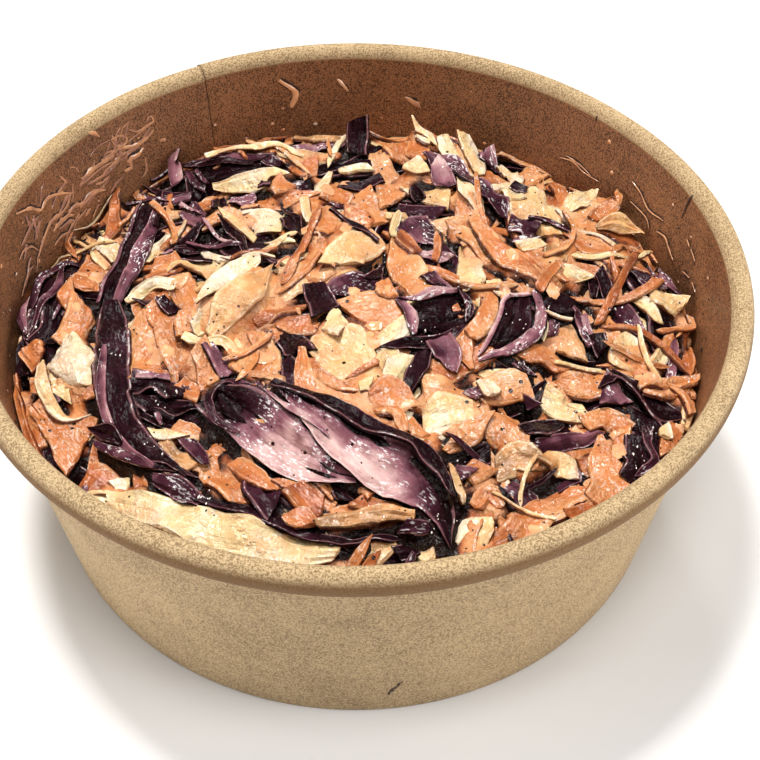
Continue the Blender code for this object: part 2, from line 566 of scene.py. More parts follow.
@dataclass(frozen=True)
class VegetableFinish:
    """Wet shredded vegetable under a thin creamy dressing."""

    name: str
    body: tuple[tuple[float, Colour], ...]
    streak: Colour
    streak_share: float
    edge: Colour
    edge_share: float
    # under: painted shade on each shred's lower sides and underside.
    under: Colour
    film: Colour
    film_amount: float
    film_strength: float
    film_least: float = 0.04
    # Painted highlights along the top edges, with the drops of dressing that gather there.
    bead_and_glint: Colour = (0.93, 0.84, 0.74)
    bead_and_glint_share: float = 0.5
    glint: Colour = (0.96, 0.93, 0.88)
    glint_share: float = 0.42
    mottle: float = 0.10
    roughness: float = 0.20
    bump: float = 0.7
    crinkle: float = 0.18
    ripple: float = 2.0
    specular: float = 0.75
    pepper: Colour = (0.03, 0.012, 0.008)
    pepper_share: float = 0.14

    def build(self, effects: Effects) -> bpy.types.Material:
        """The material.

        Args:
            effects: The shared node groups.

        Returns:
            The material.
        """
        made, g, shader = new_material(self.name)
        at = g.node("TexCoord").outputs["Object"]
        strands = g.group(effects.strands, Strip=g.attribute("strip", vector=True))
        film = g.group(effects.film, Vector=at, Amount=self.film_amount)
        pepper = g.group(effects.pepper, Vector=at, Share=self.pepper_share)
        edge = g.attribute("edge")
        mottle = g.band(g.noise(at, 260.0, 3.0, 0.5), 0.3, 0.7, -self.mottle, self.mottle)
        crinkle = g.noise(at, 2100.0, 3.0, 0.6)
        ripple = g.noise(at, 480.0, 2.0, 0.45)
        tone = g.math("ADD", g.attribute("tone"), mottle, clamp=True)
        colour = g.ramp(tone, self.body)
        streak = g.math("MULTIPLY", strands.outputs["Shade"], self.streak_share)
        colour = g.mix(streak, colour, self.streak)
        cover = g.math("MULTIPLY", film.outputs["Cover"],
                       g.band(tone, 0.05, 0.45, self.film_least, self.film_strength))
        colour = g.mix(cover, colour, self.film)
        rim = g.math("MULTIPLY", g.band(edge, 0.3, 0.85), self.edge_share)
        colour = g.mix(rim, colour, self.edge)
        # Painted highlights along the top edges, with the drops of dressing that gather there.
        beads_and_glints = g.math("MULTIPLY", g.band(edge, 0.55, 0.9), g.band(g.noise(at, 560.0, 2.0), 0.54, 0.60))
        colour = g.mix(g.math("MULTIPLY", beads_and_glints, self.bead_and_glint_share), colour, self.bead_and_glint)
        glint = g.math("MULTIPLY", strands.outputs["Glint"], g.band(tone, 0.2, 0.6, 0.03, self.glint_share))
        colour = g.mix(glint, colour, self.glint)
        # Painted shade on the lower sides and underside, where the edge mark falls below 0.
        colour = g.mix(g.band(edge, -0.04, -0.4), colour, self.under)
        colour = g.mix(pepper.outputs["Cover"], colour, self.pepper)
        g.feed(shader.inputs["Base Color"], colour)
        wet = g.band(g.noise(at, 500.0, 2.0), 0.4, 0.62, self.roughness + 0.08, self.roughness - 0.08)
        g.feed(shader.inputs["Roughness"], wet)
        shader.inputs["Specular IOR Level"].default_value = self.specular
        bump = g.node("Bump")
        bump.inputs["Strength"].default_value = self.bump
        bump.inputs["Distance"].default_value = 0.00045
        height = g.math("ADD", strands.outputs["Height"], g.math("MULTIPLY", film.outputs["Height"], 0.9))
        height = g.math("ADD", height, g.math("MULTIPLY", crinkle, self.crinkle))
        height = g.math("ADD", height, g.math("MULTIPLY", ripple, self.ripple))
        g.feed(bump.inputs["Height"], height)
        g.feed(shader.inputs["Normal"], bump.outputs[0])
        return made


@dataclass(frozen=True)
class DressingFinish:
    """Creamy dressing: drops, clots and smears."""

    name: str = "dressing"
    dark: Colour = (0.40, 0.195, 0.140)
    middle: Colour = (0.90, 0.45, 0.21)
    # The palest dressing, which the near-white drops take as painted glints.
    light: Colour = (0.97, 0.92, 0.86)
    roughness: float = 0.14
    bump: float = 0.3

    def build(self, effects: Effects) -> bpy.types.Material:
        """The material.

        Args:
            effects: The shared node groups.

        Returns:
            The material.
        """
        made, g, shader = new_material(self.name)
        at = g.node("TexCoord").outputs["Object"]
        shift = g.band(g.noise(at, 500.0), 0.3, 0.7, -0.15, 0.15)
        tone = g.math("ADD", g.attribute("tone"), shift, clamp=True)
        colour = g.ramp(tone, ((0.0, self.dark), (0.55, self.middle), (1.0, self.light)))
        g.feed(shader.inputs["Base Color"], colour)
        shader.inputs["Roughness"].default_value = self.roughness
        bump = g.node("Bump")
        bump.inputs["Strength"].default_value = self.bump
        bump.inputs["Distance"].default_value = 0.0002
        g.feed(bump.inputs["Height"], g.noise(at, 1100.0))
        g.feed(shader.inputs["Normal"], bump.outputs[0])
        return made


RED_CABBAGE = VegetableFinish(
    name="red_cabbage",
    body=((0.0, (0.0040, 0.0010, 0.0010)), (0.25, (0.013, 0.0030, 0.0050)), (0.5, (0.060, 0.016, 0.028)),
          (0.75, (0.32, 0.130, 0.160)), (1.0, (0.82, 0.54, 0.50))),
    streak=(0.08, 0.022, 0.038), streak_share=0.20,
    edge=(0.42, 0.19, 0.20), edge_share=0.5,
    under=(0.008, 0.0025, 0.003),
    film=(0.42, 0.20, 0.16), film_amount=0.34, film_strength=0.14, film_least=0.0,
    bead_and_glint=(0.90, 0.82, 0.80), bead_and_glint_share=0.7,
    glint=(0.95, 0.90, 0.90), glint_share=0.85,
    mottle=0.08, roughness=0.12, bump=0.6, crinkle=0.2, ripple=2.0, specular=0.10,
)
CARROT = VegetableFinish(
    name="carrot",
    body=((0.0, (0.20, 0.038, 0.011)), (0.25, (0.47, 0.118, 0.031)), (0.55, (0.61, 0.200, 0.060)),
          (0.8, (0.69, 0.285, 0.105)), (1.0, (0.78, 0.43, 0.205))),
    streak=(0.70, 0.29, 0.10), streak_share=0.2,
    edge=(0.76, 0.40, 0.18), edge_share=0.45,
    under=(0.10, 0.020, 0.008),
    film=(0.75, 0.39, 0.20), film_amount=0.46, film_strength=0.42,
)
WHITE_CABBAGE = VegetableFinish(
    name="white_cabbage",
    body=((0.0, (0.30, 0.13, 0.045)), (0.3, (0.70, 0.32, 0.115)), (0.55, (0.82, 0.51, 0.22)),
          (0.78, (0.83, 0.62, 0.31)), (1.0, (0.88, 0.73, 0.55))),
    streak=(0.86, 0.66, 0.38), streak_share=0.18,
    edge=(0.90, 0.76, 0.50), edge_share=0.4,
    under=(0.15, 0.045, 0.018),
    film=(0.84, 0.47, 0.24), film_amount=0.46, film_strength=0.6,
)
DRESSING = DressingFinish()
# Dark finish for grains of pepper, nicks and the painted shadow lines under the wall's smears.
PEPPER = DressingFinish("pepper", (0.006, 0.004, 0.003), (0.02, 0.010, 0.006), (0.04, 0.016, 0.009), 0.65)
SLAW_CORE = VegetableFinish(
    name="slaw",
    body=((0.0, (0.012, 0.004, 0.003)), (0.15, (0.08, 0.018, 0.008)), (0.35, (0.42, 0.115, 0.035)),
          (0.55, (0.66, 0.245, 0.085)), (0.75, (0.75, 0.37, 0.150)), (1.0, (0.85, 0.58, 0.32))),
    streak=(0.85, 0.45, 0.22), streak_share=0.0,
    edge=(0.9, 0.6, 0.3), edge_share=0.0,
    under=(0.02, 0.01, 0.01),
    film=(0.86, 0.52, 0.30), film_amount=0.50, film_strength=0.45, film_least=0.0,
    mottle=0.14, roughness=0.2, bump=0.85, crinkle=0.4, ripple=2.0, specular=0.35,
)


# --------------------------------------------------------------------------------------
# Mesh building
# --------------------------------------------------------------------------------------


@dataclass
class Stock:
    """Grids of points that are joined into one mesh, with what their finish reads.

    Each grid is a closed sleeve of rings that ends in two tip points.
    """

    points: list[np.ndarray] = field(default_factory=list)
    tones: list[np.ndarray] = field(default_factory=list)
    edges: list[np.ndarray] = field(default_factory=list)
    strips: list[np.ndarray] = field(default_factory=list)
    quads: list[np.ndarray] = field(default_factory=list)
    tris: list[np.ndarray] = field(default_factory=list)
    quad_uvs: list[np.ndarray] = field(default_factory=list)
    tri_uvs: list[np.ndarray] = field(default_factory=list)
    cells: list[tuple[float, float]] = field(default_factory=list)
    quad_cells: list[np.ndarray] = field(default_factory=list)
    tri_cells: list[np.ndarray] = field(default_factory=list)
    count: int = 0

    def add_sleeve(self, rings: np.ndarray, tips: np.ndarray, tone: np.ndarray,
                   edge: np.ndarray, strip: np.ndarray) -> None:
        """Adds one closed sleeve.

        Args:
            rings: Points, ring by ring: (rings, round, 3).
            tips: The two end points.
            tone: The finish's tone at each point, then at the two tips.
            edge: How near a cut edge each point is, then the tips.
            strip: Distance along and across the shred and its own random number, by point.
        """
        n, m = rings.shape[:2]
        at = self.count
        index = at + np.arange(n * m).reshape(n, m)
        first, last = at + n * m, at + n * m + 1
        right = np.roll(index, -1, axis=1)
        self.points += [rings.reshape(-1, 3), tips]
        self.tones.append(tone)
        self.edges.append(edge)
        self.strips.append(strip)
        self.quads.append(np.stack([index[:-1], right[:-1], right[1:], index[1:]], -1).reshape(-1, 4))
        self.tris.append(np.stack([right[0], index[0], np.full(m, first)], -1))
        self.tris.append(np.stack([index[-1], right[-1], np.full(m, last)], -1))
        # The sleeve unrolls into one cell: around it on u, along it on v.
        u = np.arange(m + 1) / m
        v = (np.arange(n) + 1.0) / (n + 1.0)
        a = np.stack(np.meshgrid(u[:-1], v[:-1]), -1)
        b = np.stack(np.meshgrid(u[1:], v[:-1]), -1)
        c = np.stack(np.meshgrid(u[1:], v[1:]), -1)
        d = np.stack(np.meshgrid(u[:-1], v[1:]), -1)
        self.quad_uvs.append(np.stack([a, b, c, d], 2).reshape(-1, 4, 2))
        middle = (u[:-1] + u[1:]) / 2
        low = np.stack([np.stack([u[1:], np.full(m, v[0])], -1), np.stack([u[:-1], np.full(m, v[0])], -1),
                        np.stack([middle, np.zeros(m)], -1)], 1)
        high = np.stack([np.stack([u[:-1], np.full(m, v[-1])], -1), np.stack([u[1:], np.full(m, v[-1])], -1),
                         np.stack([middle, np.ones(m)], -1)], 1)
        self.tri_uvs += [low, high]
        self.quad_cells.append(np.full((n - 1) * m, len(self.cells)))
        self.tri_cells.append(np.full(2 * m, len(self.cells)))
        around = np.linalg.norm(rings - np.roll(rings, 1, axis=1), axis=2).sum(1).mean()
        along = np.linalg.norm(np.diff(rings.mean(1), axis=0), axis=1).sum()
        self.cells.append((around, along + around / m * 2))
        self.count = at + n * m + 2

    def _packed(self) -> tuple[np.ndarray, np.ndarray]:
        """Lays the cells out in rows on the unit square.

        Returns:
            Each cell's corner and its size.
        """
        sizes = np.array(self.cells)
        order = np.argsort(-sizes[:, 1])
        side = math.sqrt(float((sizes[:, 0] * sizes[:, 1]).sum()) * 1.06)
        while True:
            corner = np.zeros_like(sizes)
            x = y = row = 0.0
            for i in order:
                wide, high = sizes[i]
                if x + wide > side:
                    x, y, row = 0.0, y + row, 0.0
                corner[i] = (x, y)
                x += wide
                row = max(row, high)
            if y + row <= side:
                return corner / side, sizes / side
            side *= 1.02

    def build(self, name: str, material: bpy.types.Material) -> bpy.types.Object:
        """Makes the mesh.

        Args:
            name: The object's name.
            material: Its material.

        Returns:
            The object, linked to the scene.
        """
        points = np.concatenate(self.points)
        quads, tris = np.concatenate(self.quads), np.concatenate(self.tris)
        mesh = bpy.data.meshes.new(name)
        mesh.vertices.add(len(points))
        mesh.vertices.foreach_set("co", points.astype(np.float32).ravel())
        corners = np.concatenate([quads.ravel(), tris.ravel()])
        sizes = np.concatenate([np.full(len(quads), 4), np.full(len(tris), 3)])
        starts = np.concatenate([[0], np.cumsum(sizes)[:-1]])
        mesh.loops.add(len(corners))
        mesh.loops.foreach_set("vertex_index", corners.astype(np.int32))
        mesh.polygons.add(len(sizes))
        mesh.polygons.foreach_set("loop_start", starts.astype(np.int32))
        mesh.polygons.foreach_set("use_smooth", np.ones(len(sizes), bool))
        for label, values in (("tone", self.tones), ("edge", self.edges)):
            layer = mesh.attributes.new(label, "FLOAT", "POINT")
            layer.data.foreach_set("value", np.concatenate(values).astype(np.float32))
        layer = mesh.attributes.new("strip", "FLOAT_VECTOR", "POINT")
        layer.data.foreach_set("vector", np.concatenate(self.strips).astype(np.float32).ravel())
        corner, size = self._packed()
        inset = 0.04
        flat = []
        for uvs, cells in ((self.quad_uvs, self.quad_cells), (self.tri_uvs, self.tri_cells)):
            uv, cell = np.concatenate(uvs), np.concatenate(cells)
            uv = inset + uv * (1 - 2 * inset)
            flat.append((corner[cell][:, None] + uv * size[cell][:, None]).reshape(-1, 2))
        unwrap = mesh.uv_layers.new(name=UNWRAP_LAYER)
        unwrap.data.foreach_set("uv", np.concatenate(flat).astype(np.float32).ravel())
        mesh.update(calc_edges=True)
        mesh.validate()
        mesh.set_sharp_from_angle(angle=math.radians(42))
        mesh.materials.append(material)
        made = bpy.data.objects.new(name, mesh)
        bpy.context.scene.collection.objects.link(made)
        return made


def smooth_path(points: np.ndarray, count: int) -> np.ndarray:
    """A smooth curve through a few points, evenly cut.

    Args:
        points: The points to pass through.
        count: How many points to return.

    Returns:
        Points along the curve.
    """
    if len(points) == 2:
        share = np.linspace(0.0, 1.0, count)[:, None]
        return points[0] * (1 - share) + points[1] * share
    steps = np.linalg.norm(np.diff(points, axis=0), axis=1)
    place = np.concatenate([[0.0], np.cumsum(steps)])
    slope = np.gradient(points, place, axis=0)
    fine = np.linspace(0.0, place[-1], count * 6)
    i = np.clip(np.searchsorted(place, fine, side="right") - 1, 0, len(points) - 2)
    span = (place[i + 1] - place[i])[:, None]
    t = (fine[:, None] - place[i][:, None]) / span
    curve = ((2 * t**3 - 3 * t**2 + 1) * points[i] + (t**3 - 2 * t**2 + t) * span * slope[i]
             + (3 * t**2 - 2 * t**3) * points[i + 1] + (t**3 - t**2) * span * slope[i + 1])
    run = np.concatenate([[0.0], np.cumsum(np.linalg.norm(np.diff(curve, axis=0), axis=1))])
    even = np.linspace(0.0, run[-1], count)
    return np.stack([np.interp(even, run, curve[:, k]) for k in range(curve.shape[1])], -1)


def soft_noise(rng: np.random.Generator, count: int, knots: int) -> np.ndarray:
    """A smooth random run of numbers.

    Args:
        rng: The random generator.
        count: How many numbers.
        knots: How many random values they pass through.

    Returns:
        Numbers from about -1 to 1.
    """
    return np.interp(np.linspace(0, knots - 1, count), np.arange(knots), rng.uniform(-1, 1, knots))


# --------------------------------------------------------------------------------------
# The bowl
# --------------------------------------------------------------------------------------


@dataclass(frozen=True)
class BowlShape:
    """The bowl's sizes in metres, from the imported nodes, and how its board is folded."""

    rim_radius: float
    height: float
    foot_radius: float
    board: float = 0.0005
    gap: float = 0.0003
    curl_width: float = 0.0043
    curl_height: float = 0.0058
    hem_height: float = 0.0055

    @classmethod
    def from_frame(cls) -> BowlShape:
        """Reads the bowl's sizes from the frame.

        Returns:
            The bowl's shape.
        """
        low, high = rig.box(WALL_NODE)
        foot = max(math.hypot(v.co.x, v.co.y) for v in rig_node(WALL_NODE).data.vertices
                   if v.co.z < low.z + 0.0003)
        return cls(rim_radius=(high.x - low.x) / 2, height=high.z - low.z, foot_radius=foot)

    @property
    def step(self) -> float:
        """From the middle of one layer of board to the next."""
        return self.board + self.gap

    @property
    def foot_r(self) -> float:
        """Radius of the board's middle where the wall meets the table."""
        return self.foot_radius - self.board / 2

    @property
    def curl_centre(self) -> tuple[float, float]:
        """Radius and height of the curl's centre."""
        return self.rim_radius - self.curl_width / 2, self.height - self.curl_height / 2

    @property
    def wall_top_r(self) -> float:
        """Radius of the board's middle where the wall runs into the curl."""
        return self.curl_centre[0] - (self.curl_width - self.board) / 2

    def wall_r(self, z: float | np.ndarray) -> float | np.ndarray:
        """Radius of the board's middle at a height.

        Args:
            z: The height.

        Returns:
            The radius.
        """
        rise = self.curl_centre[1] - self.board / 2
        return self.foot_r + (self.wall_top_r - self.foot_r) * (z - self.board / 2) / rise

    def inner_r(self, z: float | np.ndarray) -> float | np.ndarray:
        """Radius of the wall's inner face at a height.

        Args:
            z: The height.

        Returns:
            The radius.
        """
        return self.wall_r(z) - self.board / 2


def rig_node(name: str) -> bpy.types.Object:
    """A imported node's object.

    Args:
        name: The node's name.

    Returns:
        The object.
    """
    return next(o for o in bpy.data.objects if o.get("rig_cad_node") == name)


def both_faces(line: np.ndarray, board: float) -> tuple[np.ndarray, np.ndarray]:
    """The outline of a sheet of board whose middle follows a line.

    Args:
        line: Radius and height along the board's middle.
        board: The board's thickness.

    Returns:
        Radius and height round the board, and 1 where a point lies on its inner face.
    """
    along = np.gradient(line, axis=0)
    normal = np.stack([-along[:, 1], along[:, 0]], -1)
    normal /= np.linalg.norm(normal, axis=1)[:, None]
    half = board / 2
    outline = np.concatenate([line - normal * half, (line + normal * half)[::-1]])
    return outline, np.concatenate([np.zeros(len(line)), np.ones(len(line))])


def grid_object(name: str, points: np.ndarray, values: dict[str, np.ndarray],
                material: bpy.types.Material) -> bpy.types.Object:
    """A mesh from a grid that closes on itself both ways.

    Args:
        name: The object's name.
        points: The grid: (columns, round, 3).
        values: Numbers that the finish reads, each (columns, round).
        material: The material.

    Returns:
        The object, linked to the scene.
    """
    n, m = points.shape[:2]
    index = np.arange(n * m).reshape(n, m)
    over, up = np.roll(index, -1, axis=0), np.roll(index, -1, axis=1)
    both = np.roll(over, -1, axis=1)
    faces = np.stack([index, over, both, up], -1).reshape(-1, 4)
    mesh = bpy.data.meshes.new(name)
    mesh.from_pydata(points.reshape(-1, 3).tolist(), [], faces.tolist())
    for label, numbers in values.items():
        layer = mesh.attributes.new(label, "FLOAT", "POINT")
        layer.data.foreach_set("value", numbers.astype(np.float32).ravel())
    i, j = np.meshgrid(np.arange(n), np.arange(m), indexing="ij")
    corners = np.stack([np.stack([i + a, j + b], -1) for a, b in ((0, 0), (1, 0), (1, 1), (0, 1))], 2)
    unwrap = mesh.uv_layers.new(name=UNWRAP_LAYER)
    unwrap.data.foreach_set("uv", (corners / [n, m]).astype(np.float32).ravel())
    mesh.shade_smooth()
    mesh.set_sharp_from_angle(angle=math.radians(50))
    mesh.materials.append(material)
    made = bpy.data.objects.new(name, mesh)
    bpy.context.scene.collection.objects.link(made)
    return made


@dataclass
class KraftBowl:
    """The bowl: one strip of board, hemmed below and curled above, round a base disc.

    The lap_ and line_ values shape the seam. lining_gap and lining_fade say where below the
    rim the inside's colour starts, shade_reach and shade_fade how the curl is shaded, and
    curl_shadow how fast the shade under the curl fades.
    """

    shape: BowlShape
    columns: int = 288
    base_columns: int = 144
    lap_azimuth: float = 120.0
    lap_width: float = 6.5
    lap_fade: float = 14.0
    lap_share: float = 0.8
    wobble: float = 0.00018
    line_width: float = 0.12
    line_depth: float = 0.0002
    line_foot: float = 0.006
    curl_lead: float = 0.0024
    lining_gap: float = 0.0020
    lining_fade: float = 0.0011
    shade_reach: float = 0.0021
    shade_fade: float = 0.0012
    curl_shadow: float = 0.0005
    dome: float = 0.0003
    base_hole: float = 0.0004

    def _centre_line(self) -> np.ndarray:
        """The board's middle, from the hem's top to the curl's tucked edge.

        Returns:
            Radius and height, point by point.
        """
        s = self.shape
        hem_r, floor, hem_top = s.foot_r - 2 * s.step, s.board / 2, s.board / 2 + s.hem_height
        bend = s.step * 0.8
        line = [(hem_r, z) for z in np.linspace(hem_top, floor + bend, 6)]
        line += [(hem_r + bend * (1 - math.cos(a)), floor + bend * (1 - math.sin(a)))
                 for a in np.linspace(0.3, math.pi / 2, 4)]
        line += [(s.foot_r - bend * (1 - math.sin(a)) * 0.6, floor + bend * (1 - math.cos(a)) * 0.6)
                 for a in np.linspace(0.0, math.pi / 2, 4)]
        start = floor + bend
        tuck = s.height - s.curl_height
        line += [(s.wall_r(z), z) for z in np.linspace(start, tuck - self.curl_lead, 22)]
        line += [(s.wall_r(z), z) for z in np.linspace(tuck - self.curl_lead, s.curl_centre[1], 11)[1:]]
        wide, high = (s.curl_width - s.board) / 2, (s.curl_height - s.board) / 2
        turn = np.radians(np.linspace(180, -118, 34))[1:]
        line += [(s.curl_centre[0] + wide * math.cos(a), s.curl_centre[1] + high * math.sin(a)) for a in turn]
        return np.array(line)

    def _azimuths(self) -> np.ndarray:
        """Where the wall's columns stand, closer together at the lap's two edges.

        Returns:
            Azimuths in degrees, in order.
        """
        around = np.linspace(0.0, 360.0, self.columns, endpoint=False)
        edges = [self.lap_azimuth, self.lap_azimuth + self.lap_width]
        near = np.array([-3.0, -1.0, -0.34, 0.34, 1.0, 3.0]) * self.line_width
        extra = np.concatenate([edge + near for edge in edges])
        clear = [a for a in around if min(abs(a - e) for e in edges) > 4 * self.line_width]
        return np.sort(np.concatenate([clear, extra]))

    def _wall(self, material: bpy.types.Material) -> bpy.types.Object:
        """The wall with its hem and curl.

        Args:
            material: The board's material.

        Returns:
            The wall.
        """
        s = self.shape
        outline, is_inner = both_faces(self._centre_line(), s.board)
        azimuth = self._azimuths()
        angle = np.radians(azimuth)[:, None]
        r, z = outline[:, 0][None, :], outline[:, 1][None, :]
        up = np.clip(z / s.height, 0, 1)
        wave = (np.sin(2 * angle + 0.7) + 0.6 * np.sin(3 * angle + 2.1)
                + 0.3 * np.sin(7 * angle)) * self.wobble
        dip = (np.sin(2 * angle + 2.0) + 0.5 * np.sin(5 * angle + 0.4)) * self.wobble * 0.6
        past = (azimuth - self.lap_azimuth) % 360.0
        step_in = np.where(past < self.lap_fade, 1 - past / self.lap_fade, 0.0)[:, None]
        before = (self.lap_azimuth + self.lap_width - azimuth) % 360.0
        step_out = np.where(before < self.lap_fade, 1 - before / self.lap_fade, 0.0)[:, None]
        on_inner = is_inner[None, :]
        shift = (-self.lap_share * s.board * step_in * on_inner
                 + self.lap_share * s.board * step_out * (1 - on_inner))
        line_in = np.exp(-((np.minimum(past, 360 - past) / self.line_width) ** 2))[:, None] * on_inner
        line_out = (np.exp(-((np.minimum(before, 360 - before) / self.line_width) ** 2))[:, None]
                    * (1 - on_inner))
        shift += self.line_depth * line_in - self.line_depth * line_out
        radius = r + shift + wave * up
        height = z + dip * up**3
        points = np.stack([radius * np.cos(angle), radius * np.sin(angle), height + 0 * angle], -1)
        below_rim = np.clip((s.height - self.lining_gap - z) / self.lining_fade, 0, 1)
        rim_r, rim_z = s.curl_centre
        # Where the inside's darker colour, partly painted shade, starts below the rim.
        lining = below_rim * on_inner * (r < rim_r) + 0 * angle
        # Painted shade along the seam's step, fading out near the floor.
        crease_shade = np.clip(line_in + line_out, 0, 1) * np.clip(z / self.line_foot, 0, 1)
        shaded = np.clip((rim_z + self.shade_reach - z) / self.shade_fade, 0, 1)
        under = np.where(r > rim_r, shaded, 0.0) * on_inner + 0 * angle
        under += np.exp(-np.clip(s.height - s.curl_height - z, 0, 1) / self.curl_shadow) * (1 - on_inner)
        values = {"inside": lining, "crease_shade": crease_shade, "shade": under}
        return grid_object("bowl_wall_board", points, values, material)

    def _base(self, material: bpy.types.Material) -> bpy.types.Object:
        """The base disc with its down-turned flange, slightly domed.

        Args:
            material: The board's material.

        Returns:
            The base.
        """
        s = self.shape
        low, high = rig.box(BASE_NODE)
        disc_z = high.z - s.board / 2
        bend = s.step
        flange_foot = s.foot_r - s.step
        flange_top = s.wall_r(disc_z) - s.step
        line = [(flange_foot + (flange_top - flange_foot) * t, low.z + (disc_z - bend - low.z) * t)
                for t in np.linspace(0, 1, 5)]
        line += [(flange_top - bend * (1 - math.cos(a)), disc_z - bend * (1 - math.sin(a)))
                 for a in np.linspace(0, math.pi / 2, 5)[1:]]
        line += [(r, disc_z - self.dome * (1 - (r / flange_top) ** 2))
                 for r in np.linspace(flange_top - 2 * bend, self.base_hole, 26)]
        outline, _ = both_faces(np.array(line), s.board)
        angle = np.radians(np.linspace(0, 360, self.base_columns, endpoint=False))[:, None]
        r, z = outline[:, 0][None, :], outline[:, 1][None, :]
        points = np.stack([r * np.cos(angle), r * np.sin(angle), z + 0 * angle], -1)
        zero = np.zeros(points.shape[:2])
        values = dict.fromkeys(("inside", "crease_shade", "shade"), zero)
        return grid_object("bowl_base_board", points, values, material)

    def build(self, material: bpy.types.Material) -> list[bpy.types.Object]:
        """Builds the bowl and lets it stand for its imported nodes.

        Args:
            material: The board's material.

        Returns:
            The wall and the base.
        """
        wall, base = self._wall(material), self._base(material)
        for piece, node in ((wall, WALL_NODE), (base, BASE_NODE)):
            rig.ride(piece, BODY)
            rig.replaces(piece, node)
            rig.slot(piece, "kraft_board")
        return [wall, base]


# --------------------------------------------------------------------------------------
# The slaw
# --------------------------------------------------------------------------------------


def swell(grid: np.ndarray, steps: int) -> np.ndarray:
    """Gives each cell the greatest value near it.

    Args:
        grid: The cells.
        steps: How many cells away it looks.

    Returns:
        The new cells.
    """
    for step in range(steps):
        near = [grid] + [np.roll(grid, shift, (0, 1)) for shift in NEXT_CELLS]
        if step % 2:
            near += [np.roll(grid, shift, (0, 1)) for shift in CORNER_CELLS]
        grid = np.maximum.reduce(near)
    return grid


def soften(grid: np.ndarray, steps: int) -> np.ndarray:
    """Smooths a grid.

    Args:
        grid: The cells.
        steps: How many times each cell is mixed with its neighbours.

    Returns:
        The new cells.
    """
    for _ in range(steps):
        sides = sum(np.roll(grid, shift, (0, 1)) for shift in NEXT_CELLS)
        corners = sum(np.roll(grid, shift, (0, 1)) for shift in CORNER_CELLS)
        grid = grid / 4 + sides / 8 + corners / 16
    return grid


NEXT_CELLS = ((0, 1), (0, -1), (1, 0), (-1, 0))
CORNER_CELLS = ((1, 1), (1, -1), (-1, 1), (-1, -1))


@dataclass
class Pile:
    """The slaw's surface as a grid of heights, which rises as shreds are laid on it."""

    reach: float
    cell: float
    heights: np.ndarray
    kinds: np.ndarray | None = None

    @classmethod
    def over(cls, reach: float, cell: float) -> Pile:
        """A flat pile.

        Args:
            reach: Half the grid's side.
            cell: The grid's pitch.

        Returns:
            The pile.
        """
        count = int(round(2 * reach / cell)) + 1
        return cls(reach, cell, np.zeros((count, count)), np.full((count, count), -1))

    def places(self) -> tuple[np.ndarray, np.ndarray]:
        """The x and y of every cell."""
        line = np.linspace(-self.reach, self.reach, len(self.heights))
        return np.meshgrid(line, line, indexing="ij")

    def read(self, x: np.ndarray, y: np.ndarray) -> np.ndarray:
        """Heights between the cells.

        Args:
            x: Places across.
            y: Places front to back.

        Returns:
            The heights there.
        """
        top = len(self.heights) - 1.001
        i = np.clip((x + self.reach) / self.cell, 0, top)
        j = np.clip((y + self.reach) / self.cell, 0, top)
        a, b = i.astype(int), j.astype(int)
        u, v = i - a, j - b
        h = self.heights
        return (h[a, b] * (1 - u) * (1 - v) + h[a + 1, b] * u * (1 - v)
                + h[a, b + 1] * (1 - u) * v + h[a + 1, b + 1] * u * v)

    def _cell(self, x: np.ndarray, y: np.ndarray) -> tuple[np.ndarray, np.ndarray]:
        """The cells nearest to some places.

        Args:
            x: Places across.
            y: Places front to back.

        Returns:
            Their rows and columns.
        """
        top = len(self.heights) - 1
        return tuple(np.clip(np.rint((v + self.reach) / self.cell).astype(int), 0, top) for v in (x, y))

    def kind_at(self, x: float, y: float) -> int:
        """What lies on top at a place.

        Args:
            x: The place across.
            y: The place front to back.

        Returns:
            The number of its kind, or -1 where nothing was laid.
        """
        return int(self.kinds[self._cell(np.array(x), np.array(y))])

    def raise_to(self, points: np.ndarray, kind: int) -> None:
        """Lifts the cells under some points to them.

        Args:
            points: Points on the new surface.
            kind: The number of what they belong to.
        """
        at = self._cell(points[:, 0], points[:, 1])
        before = self.heights[at]
        np.maximum.at(self.heights, at, points[:, 2])
        risen = points[:, 2] > before
        self.kinds[at[0][risen], at[1][risen]] = kind


@dataclass(frozen=True)
class Nature:
    """How a vegetable lies: thickness in millimetres, how sharply it bends, waves and tears.

    pleat is how deep its folds along its length are, in millimetres.
    """

    thick: float
    limp: float
    ruffle: float
    ragged: float
    pleat: float


NATURES = {
    Vegetable.CARROT: Nature(thick=1.30, limp=0.045, ruffle=0.04, ragged=0.15, pleat=0.20),
    Vegetable.RED_CABBAGE: Nature(thick=0.75, limp=0.080, ruffle=0.08, ragged=0.10, pleat=0.34),
    Vegetable.WHITE_CABBAGE: Nature(thick=1.05, limp=0.065, ruffle=0.06, ragged=0.15, pleat=0.26),
}


